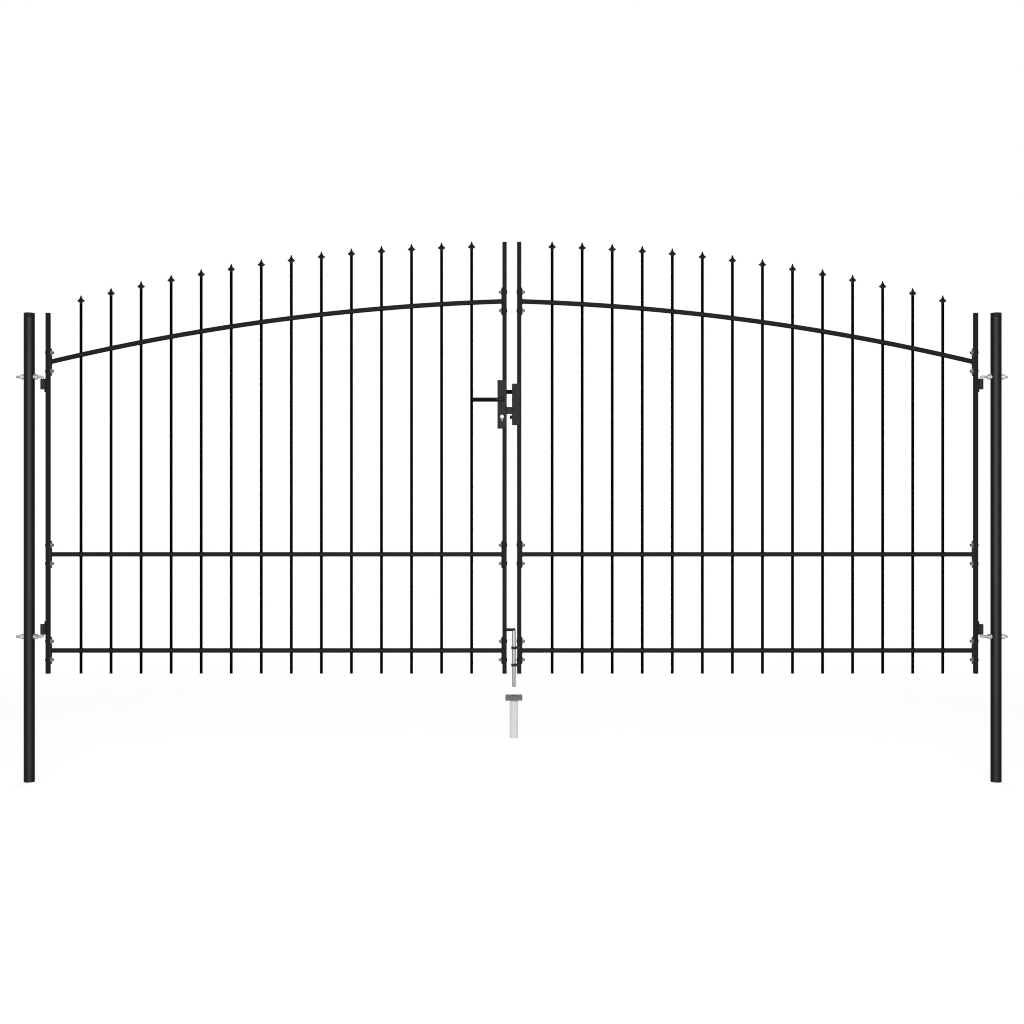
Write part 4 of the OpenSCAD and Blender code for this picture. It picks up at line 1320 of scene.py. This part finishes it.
@dataclass
class DropBolt(Assembly):
    """The drop bolt on the right leaf: guides, rod and grip."""

    body: str = "right_leaf"
    radius: float = 8.0
    foot: float = 398.0
    point: tuple[tuple[float, float], ...] = ((2.2, 0.0), (0.3, 2.6), (0.0, 3.2))
    rod_edge: float = 1.2
    facets: int = 56
    grip_z: float = 634.0
    grip_radius: float = 6.2
    grip_left: float = 38.3
    grip_right: float = 6.7
    grip_seat: float = 3.0
    grip_round: float = 3.0
    grip_round_steps: int = 5
    grip_rows: int = 120
    grip_facets: int = 48
    rib_depth: float = 0.45
    rib_pitch: float = 3.9
    rib_power: int = 3
    guide_bore: float = 8.4
    guide_mouth: float = 0.4
    guide_wall: float = 2.6
    guide_edge: float = 0.5
    guide_height: float = 11.0
    guide_tab: float = 4.0
    guide_reach: float = 24.7
    tab_corner: float = 1.0
    guides: tuple[float, float] = (488.0, 559.0)

    def build(self) -> None:
        """Makes the guides, rod and grip."""
        eyes = Surface()
        h, bore, mouth, edge = self.guide_height / 2.0, self.guide_bore, self.guide_mouth, self.guide_edge
        rim, low = bore + self.guide_wall, SIZES.half_tube
        eye = [(bore, -h + mouth), (bore + mouth, -h), (rim - edge, -h), (rim, -h + edge), (rim, h - edge),
               (rim - edge, h), (bore + mouth, h), (bore, h - mouth)]
        tab = rounded_rect(self.guide_reach, self.guide_height, self.tab_corner)
        for z in self.guides:
            eyes.turned(eye, (SIZES.drop_x, SIZES.drop_y, z), UPRIGHT, self.facets, ring=True)
            at = (SIZES.drop_x + self.guide_reach / 2.0, 0, z)
            eyes.prism(tab, low, low + self.guide_tab, edge, at, FACING_FRONT)
        self.add("drop_bolt_eyes", eyes, ["drop_bolt_guides"])
        r, top = self.radius, self.grip_z - self.grip_seat
        profile = [(0.0, self.foot), *[(r - step, self.foot + z) for step, z in self.point],
                   *soft_edge(r, top, self.rod_edge), (0.0, top)]
        rod = Surface().turned(profile, (SIZES.drop_x, SIZES.drop_y, 0), UPRIGHT, self.facets)
        self.add("drop_bolt_bar", rod, ["drop_bolt_rod"], "galvanised_steel", body="drop_bolt")
        self.grip()

    def grip(self) -> None:
        """The cross grip: a turned profile between round ends.

        Its radius dips by the ribs' depth times a power of a raised cosine of the length.
        """
        r, length, edge = self.grip_radius, self.grip_left + self.grip_right, self.grip_round
        along = np.linspace(edge, length - edge, self.grip_rows)
        dip = (0.5 - 0.5 * np.cos(TURN * (along - edge) / self.rib_pitch)) ** self.rib_power
        end = soft_edge(r, length, edge, self.grip_round_steps)[1:]
        start = [(radius, length - z) for radius, z in end[::-1]]
        profile = [(0.0, 0.0), *start, *zip(r - self.rib_depth * dip, along), *end, (0.0, length)]
        at = (SIZES.drop_x - self.grip_left, SIZES.drop_y, self.grip_z)
        shape = Surface().turned(profile, at, ALONG_X, self.grip_facets)
        self.add("drop_bolt_handle", shape, ["drop_bolt_grip"], "grip_rubber", body="drop_bolt")


@dataclass
class GroundSocket(Assembly):
    """The socket that takes the drop bolt's foot."""

    collar: float = 70.0
    corner: float = 4.0
    corner_steps: int = 6
    point_step: float = 3.0
    top: float = 361.5
    top_edge: float = 1.5
    foot_edge: float = 0.4
    thickness: float = 17.0
    bore: float = 12.0
    mouth: float = 1.2
    radius: float = 17.5
    wall: float = 4.0
    foot: float = 186.0
    rim: float = 0.8
    gap: float = 0.02
    facets: int = 64

    def build(self) -> None:
        """Makes the collar and the tube.

        The collar is one ring: its rounded square outside, a quarter-round upper edge, and rows that
        pass from the square's outline to the bore's circle.
        """
        at, low, high = (SIZES.drop_x, SIZES.drop_y, 0), self.top - self.thickness, self.top
        square = rounded_rect(self.collar, self.collar, self.corner, self.corner_steps)
        outline = close_points(square, self.point_step)
        circle = directions(np.arctan2(outline[:, 1], outline[:, 0]))
        layers = [(outline, low + self.foot_edge)]
        layers += [(inset(outline, self.top_edge * (1.0 - math.cos(a))),
                    high - self.top_edge * (1.0 - math.sin(a))) for a in quarter(BEAD_STEPS)]
        hole = ((self.bore + self.mouth, high), (self.bore, high - self.mouth), (self.bore, low))
        layers += [(circle * r, z) for r, z in hole]
        layers.append((inset(outline, self.foot_edge), low))
        collar = Surface().layers(layers, at, UPRIGHT, ring=True)
        self.add("socket_collar_plate", collar, ["ground_socket_collar"], "collar_plastic")
        r, seat = self.radius, low - self.gap
        bore = r - self.wall
        wall = [(bore, self.foot), (r - self.rim, self.foot), (r, self.foot + self.rim), (r, seat),
                (bore, seat)]
        tube = Surface().turned(wall, at, UPRIGHT, self.facets, ring=True)
        self.add("socket_sleeve", tube, ["ground_socket_tube"], "socket_plastic")


Number = Union[float, int, "Sock"]
WHITE = (1.0, 1.0, 1.0, 1.0)
DETAIL = {Grain.ORANGE_PEEL: 1.0, Grain.PLATED: 4.0, Grain.MOULDED: 5.0}
DRAWN_UP = (1.0, 1.0, 0.2)
NOISE_MEAN = 0.5


class Graph:
    """A material's node tree with one way of making nodes."""

    def __init__(self, tree: bpy.types.NodeTree) -> None:
        """Empties a node tree for new nodes."""
        self.tree = tree
        tree.nodes.clear()

    def node(self, kind: str, inputs: dict[Union[str, int], object], out: Union[str, int] = 0,
             **settings: object) -> "Sock":
        """Makes a node, sets its constants and links its varying inputs.

        Args:
            kind: the node's type.
            inputs: values or sockets by input name or number.
            out: the output to return.
            settings: the node's own properties.

        Returns:
            The chosen output.
        """
        made = self.tree.nodes.new(kind)
        for key, value in settings.items():
            setattr(made, key, value)
        for key, value in inputs.items():
            if isinstance(value, Sock):
                self.tree.links.new(value.socket, made.inputs[key])
            else:
                made.inputs[key].default_value = value
        return Sock(self, made.outputs[out] if len(made.outputs) else None)

    def coords(self) -> "Sock":
        """The piece's own coordinates."""
        return self.node("ShaderNodeTexCoord", {}, out="Object")

    def noise(self, at: "Sock", scale: float, detail: float) -> "Sock":
        """Soft noise at a place, from 0 to 1."""
        return self.node("ShaderNodeTexNoise", {"Vector": at, "Scale": scale, "Detail": detail})

    def mix(self, share: "Sock", first: "Sock", second: "Sock") -> "Sock":
        """One shader passing over to a second by a share."""
        return self.node("ShaderNodeMixShader", {0: share, 1: first, 2: second}, out="Shader")

    def seen_rays(self) -> "Sock":
        """Tells the rays that show a surface from those that only light it.

        Returns:
            1 for a ray from the camera, off a glossy surface or through a clear one, otherwise 0.
        """
        kinds = [self.node("ShaderNodeLightPath", {}, out=f"Is {kind} Ray")
                 for kind in ("Camera", "Glossy", "Transmission")]
        return (kinds[0] + kinds[1] + kinds[2]).clamp()


class Sock:
    """A shader socket that takes part in arithmetic."""

    def __init__(self, graph: Graph, socket: bpy.types.NodeSocket) -> None:
        """Wraps a socket of a graph."""
        self.graph = graph
        self.socket = socket

    def _math(self, operation: str, *values: Number) -> "Sock":
        """A maths node over values and sockets."""
        return self.graph.node("ShaderNodeMath", dict(enumerate(values)), operation=operation)

    def __add__(self, other: Number) -> "Sock":
        """The sum with another value."""
        return self._math("ADD", self, other)

    def __radd__(self, other: Number) -> "Sock":
        """The sum with a value before it."""
        return self._math("ADD", other, self)

    def __sub__(self, other: Number) -> "Sock":
        """What is left after another value."""
        return self._math("SUBTRACT", self, other)

    def __rsub__(self, other: Number) -> "Sock":
        """What is left of another value."""
        return self._math("SUBTRACT", other, self)

    def __mul__(self, other: Number) -> "Sock":
        """The product with another value."""
        return self._math("MULTIPLY", self, other)

    def __rmul__(self, other: Number) -> "Sock":
        """The product with a value before it."""
        return self._math("MULTIPLY", other, self)

    def __truediv__(self, other: Number) -> "Sock":
        """The value over another."""
        return self._math("DIVIDE", self, other)

    def __rtruediv__(self, other: Number) -> "Sock":
        """Another value over this one."""
        return self._math("DIVIDE", other, self)

    def __pow__(self, other: Number) -> "Sock":
        """The value to a power."""
        return self._math("POWER", self, other)

    def clamp(self, low: float = 0.0, high: float = 1.0) -> "Sock":
        """The value held between two limits."""
        return self._math("MINIMUM", self._math("MAXIMUM", self, low), high)

    def tint(self, colour: Sequence[float]) -> "Sock":
        """The value times a colour."""
        return self.graph.node("ShaderNodeVectorMath", {0: tuple(colour), "Scale": self}, operation="SCALE")


@dataclass(frozen=True)
class Finish:
    """A surface finish worked out from object coordinates."""

    name: str
    colour: tuple[float, float, float]
    grain: Grain
    roughness: float = 0.5
    least_roughness: float = 0.05
    metallic: float = 0.0
    specular: float = 0.5
    spread: float = 0.12
    # edge and the three after it: share, power, blend and limit by which the tone falls towards the outline
    # as the camera sees it, painted shade; a negative edge raises it, painted light
    edge: float = 0.0
    painted_rim_shading_power: float = 2.0
    painted_rim_shading_blend: float = 0.5
    painted_rim_shading_most: float = 2.0
    scale: float = 700.0
    bump: float = 0.00002
    bump_strength: float = 0.6
    broad_scale: float = 4.0
    broad_detail: float = 3.0
    broad_roughness: float = 0.12
    fine_roughness: float = 0.08
    # painted light or shade along one axis: the axis, the two places and the share of the tone at the second
    painted_shading_axis: int = 0
    painted_shading_span: tuple[float, float] = (0.0, 1.0)
    painted_shading_to: float = 1.0

    def material(self) -> bpy.types.Material:
        """Builds the finish's material.

        The tone is the colour times one plus the spread of a broad noise and of the grain's own
        pattern, and falls (or with a negative edge rises) towards the outline by the edge's share of a
        power of the facing value: painted shade towards the outline as the camera sees it, painted light
        where the edge is negative. Some finishes also paint light or shade along one axis: the tone goes
        over to a share of itself between two places along it.

        Returns:
            The material.
        """
        made = bpy.data.materials.new(self.name)
        made.use_nodes = True
        graph = Graph(made.node_tree)
        coords = graph.coords()
        broad = graph.noise(coords, self.broad_scale, self.broad_detail) - NOISE_MEAN
        pattern = self._pattern(graph, coords)
        fine = pattern - NOISE_MEAN
        tone = 1.0 + self.spread * (broad + fine)
        # painted shade towards the outline as the camera sees it, or painted light where the edge is negative
        if self.edge:
            facing = graph.node("ShaderNodeLayerWeight", {"Blend": self.painted_rim_shading_blend}, out="Facing")
            tone = tone * (1.0 - self.edge * facing**self.painted_rim_shading_power).clamp(0.0, self.painted_rim_shading_most)
        # painted light or shade along one axis of the piece
        if self.painted_shading_to != 1.0:
            start, end = self.painted_shading_span
            along = graph.node("ShaderNodeSeparateXYZ", {0: coords}, out=self.painted_shading_axis)
            tone = tone * (1.0 + (self.painted_shading_to - 1.0) * ((along - start) / (end - start)).clamp())
        rough = self.roughness + self.broad_roughness * broad + self.fine_roughness * fine
        normal = graph.node("ShaderNodeBump", {
            "Height": pattern, "Strength": self.bump_strength, "Distance": self.bump}, out="Normal")
        shader = graph.node("ShaderNodeBsdfPrincipled", {
            "Base Color": tone.tint(self.colour), "Roughness": rough.clamp(self.least_roughness),
            "Metallic": self.metallic, "Specular IOR Level": self.specular, "Normal": normal}, out="BSDF")
        graph.node("ShaderNodeOutputMaterial", {"Surface": shader})
        return made

    def _pattern(self, graph: Graph, coords: Sock) -> Sock:
        """The grain's own pattern.

        Args:
            graph: the material's graph.
            coords: the piece's coordinates.

        Returns:
            A value from 0 to 1: grey cells for spangle, noise drawn out upwards for plating, and plain
            noise, coarse or fine, for the others.
        """
        if self.grain is Grain.SPANGLE:
            flakes = graph.node("ShaderNodeTexVoronoi", {"Vector": coords, "Scale": self.scale}, out="Color")
            return graph.node("ShaderNodeRGBToBW", {0: flakes})
        if self.grain is Grain.PLATED:
            coords = graph.node("ShaderNodeVectorMath", {0: coords, 1: DRAWN_UP}, operation="MULTIPLY")
        return graph.noise(coords, self.scale, DETAIL[self.grain])


FINISHES = (
    # black powder coat, with painted shade towards its outline
    Finish("powder_coat", (0.034, 0.034, 0.0345), Grain.ORANGE_PEEL, roughness=0.6, specular=0.03, edge=0.95),
    # a lighter copy of the black coat whose facing term paints a highlight down each post's middle and shade
    # on its flanks
    Finish("post_coat_painted_highlight", (0.057, 0.057, 0.0585), Grain.ORANGE_PEEL, roughness=0.3, specular=0.05, edge=1.45,
           painted_rim_shading_power=0.4),
    # a darker copy of the black coat for the leaves' tubes, with painted shade on faces turned from the
    # camera
    Finish("tube_coat_painted_shade", (0.022, 0.022, 0.0225), Grain.ORANGE_PEEL, roughness=0.6, specular=0.01, edge=1.0,
           painted_rim_shading_power=0.6),
    # a darker copy of the coat: painted shade along the lever's arm, and painted light, up to four and a half
    # times the tone, near its neck over the lock
    Finish("lever_coat_painted_shading", (0.008, 0.008, 0.0083), Grain.ORANGE_PEEL, roughness=0.6, specular=0.02, edge=0.9,
           painted_shading_span=(1.934, 1.950), painted_shading_to=4.5),
    # a near-black copy of the coat: painted shade on the thin pickets and their welds
    Finish("picket_coat_painted_shade", (0.002, 0.002, 0.0021), Grain.ORANGE_PEEL, roughness=0.6, specular=0.0, edge=0.9),
    # a lighter copy of the coat whose facing term paints a highlight on the tips' front and shade at their
    # outline
    Finish("tip_coat_painted_highlight", (0.040, 0.040, 0.0405), Grain.ORANGE_PEEL, roughness=0.6, specular=0.0, edge=1.0,
           painted_rim_shading_power=0.6),
    # moulded caps, with painted shade towards their outline
    Finish("cap_plastic", (0.011, 0.011, 0.0115), Grain.MOULDED, roughness=0.55, specular=0.1, edge=0.7,
           scale=900.0),
    Finish("zinc_plate", (0.44, 0.444, 0.454), Grain.PLATED, roughness=0.42, metallic=0.8, spread=0.2,
           scale=260.0),
    Finish("zinc_dull", (0.24, 0.242, 0.247), Grain.PLATED, roughness=0.6, metallic=0.3, spread=0.2,
           scale=260.0),
    Finish("galvanised_steel", (0.36, 0.364, 0.37), Grain.SPANGLE, roughness=0.5, metallic=0.75, spread=0.22,
           scale=160.0),
    Finish("black_zinc", (0.017, 0.017, 0.0175), Grain.PLATED, roughness=0.5, metallic=0.2, specular=0.1,
           spread=0.3, scale=260.0),
    Finish("latch_black", (0.002, 0.002, 0.002), Grain.PLATED, roughness=0.6, specular=0.01, scale=260.0),
    # dull nickel for the key cylinder, with painted shade darkening it from the middle down to near black
    # towards its tail
    Finish("nickel_dull_painted_shade", (0.29, 0.287, 0.279), Grain.PLATED, roughness=0.5, metallic=0.4, spread=0.2,
           scale=300.0, painted_shading_axis=2, painted_shading_span=(1.517, 1.497), painted_shading_to=0.03),
    Finish("nickel_plate", (0.78, 0.77, 0.74), Grain.PLATED, roughness=0.28, metallic=1.0, spread=0.1,
           scale=300.0),
    Finish("grip_rubber", (0.007, 0.007, 0.007), Grain.MOULDED, roughness=0.7, specular=0.2, scale=1200.0),
    Finish("collar_plastic", (0.13, 0.13, 0.135), Grain.MOULDED, roughness=0.6, specular=0.3, scale=900.0),
    # pale plastic sleeve, with painted light: its tone rises towards the outline
    Finish("socket_plastic", (0.68, 0.68, 0.68), Grain.MOULDED, roughness=0.5, specular=0.3, spread=0.06,
           edge=-1.0, painted_rim_shading_power=1.5, scale=900.0),
)


@dataclass(frozen=True)
class Lamp:
    """A soft rectangular light that the camera doesn't see."""

    name: str
    at: tuple[float, float, float]
    to: tuple[float, float, float]
    size: tuple[float, float]
    power: float

    def build(self) -> None:
        """Makes the light and turns it to the point that it faces."""
        data = bpy.data.lights.new(self.name, "AREA")
        data.shape = "RECTANGLE"
        data.size, data.size_y = self.size
        data.energy = self.power
        obj = bpy.data.objects.new(self.name, data)
        across, along, up = (float(d) for d in np.subtract(self.to, self.at))
        obj.rotation_euler = (math.atan2(math.hypot(across, along), -up), 0.0, math.atan2(-across, along))
        obj.location = self.at
        obj.visible_camera = False
        bpy.context.scene.collection.objects.link(obj)


LAMPS = (
    Lamp("key light", (2.0, -7.0, 1.75), (2.0, 0.0, 1.0), (4.0, 3.2), 350.0),
    Lamp("right light", (6.4, -6.6, 1.6), (4.2, 0.0, 1.2), (2.4, 4.0), 48.0),
    Lamp("left light", (-2.4, -6.6, 1.6), (-0.2, 0.0, 1.2), (2.0, 4.0), 22.0),
    Lamp("back light", (2.0, 6.5, 6.5), (2.0, 0.0, 1.0), (4.0, 2.0), 70.0),
)


@dataclass
class Studio:
    """Camera, lights, white surroundings and a floor that takes the gate's shadow; sizes in metres."""

    focal_length: float = 50.0
    sensor: float = 36.0
    camera_at: tuple[float, float, float] = (2.0083, -5.917, 1.122)
    picture: int = 1024
    pixel_filter: float = 1.0
    ambient: float = 0.22
    floor_glow: float = 0.69
    floor_tone: float = 0.8
    floor_fade: float = 3.6
    floor_reach: float = 5.2
    floor_x: float = 2.0
    floor_z: float = -0.0005
    gate_x: float = 2.011

    def build(self) -> None:
        """Makes the whole studio."""
        self.camera()
        for lamp in LAMPS:
            lamp.build()
        self.surroundings()
        self.floor()

    def camera(self) -> None:
        """A level camera that looks along +Y at the gate's middle."""
        data = bpy.data.cameras.new("camera")
        data.lens = self.focal_length
        data.sensor_width = self.sensor
        obj = bpy.data.objects.new("camera", data)
        obj.location = self.camera_at
        obj.rotation_euler = (QUARTER, 0.0, 0.0)
        scene = bpy.context.scene
        scene.collection.objects.link(obj)
        scene.camera = obj
        scene.render.resolution_x = self.picture
        scene.render.resolution_y = self.picture
        scene.cycles.filter_width = self.pixel_filter
        scene.view_settings.view_transform = "Standard"

    def surroundings(self) -> None:
        """White to the camera and in reflections, dim as a light."""
        world = bpy.data.worlds.new("surroundings")
        world.use_nodes = True
        bpy.context.scene.world = world
        graph = Graph(world.node_tree)
        dim, white = (graph.node("ShaderNodeBackground", {"Color": WHITE, "Strength": s}, out="Background")
                      for s in (self.ambient, 1.0))
        graph.node("ShaderNodeOutputWorld", {"Surface": graph.mix(graph.seen_rays(), dim, white)})

    def floor(self) -> None:
        """A pale floor under the posts' feet.

        It shows the light that it catches, and to the camera and in reflections a glow of its own; far
        from the gate it turns clear as a straight line of the distance.
        """
        reach = self.floor_reach
        corners = ((-reach, -reach), (reach, -reach), (reach, reach), (-reach, reach))
        mesh = bpy.data.meshes.new("floor")
        mesh.from_pydata([(x + self.floor_x, y, self.floor_z) for x, y in corners], [], [(0, 1, 2, 3)])
        obj = bpy.data.objects.new("floor", mesh)
        bpy.context.scene.collection.objects.link(obj)
        made = bpy.data.materials.new("floor")
        made.use_nodes = True
        graph = Graph(made.node_tree)
        offset = graph.node("ShaderNodeVectorMath", {0: graph.coords(), 1: (self.gate_x, 0.0, 0.0)},
                            operation="SUBTRACT")
        away = graph.node("ShaderNodeVectorMath", {0: offset}, out="Value", operation="LENGTH")
        near = ((reach - away) / (reach - self.floor_fade)).clamp()
        glow = graph.node("ShaderNodeEmission", {"Color": WHITE, "Strength": self.floor_glow}, out="Emission")
        tone = (self.floor_tone, self.floor_tone, self.floor_tone, 1.0)
        matt = graph.node("ShaderNodeBsdfDiffuse", {"Color": tone}, out="BSDF")
        both = graph.node("ShaderNodeAddShader", {0: matt, 1: glow}, out="Shader")
        clear = graph.node("ShaderNodeBsdfTransparent", {"Color": WHITE}, out="BSDF")
        shown = graph.mix(graph.seen_rays(), matt, both)
        graph.node("ShaderNodeOutputMaterial", {"Surface": graph.mix(near, clear, shown)})
        mesh.materials.append(made)


def main() -> None:
    """Builds and dresses the gate, then lights it."""
    logging.basicConfig(level=logging.INFO)
    finishes = {f.name: f.material() for f in FINISHES}
    lock = Lock()
    assemblies: list[Assembly] = [lock, Keep(lock=lock), DropBolt(), GroundSocket()]
    for side in Side:
        assemblies += [PostAssembly(side), LeafFrame(side, side.body), Infill(side, side.body)]
    for assembly in assemblies:
        assembly.build()
        assembly.dress(finishes)
    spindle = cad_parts["lever_spindle"]
    spindle.data.materials.clear()
    spindle.data.materials.append(finishes["zinc_plate"])
    Studio().build()


if __name__ == "__main__":
    main()
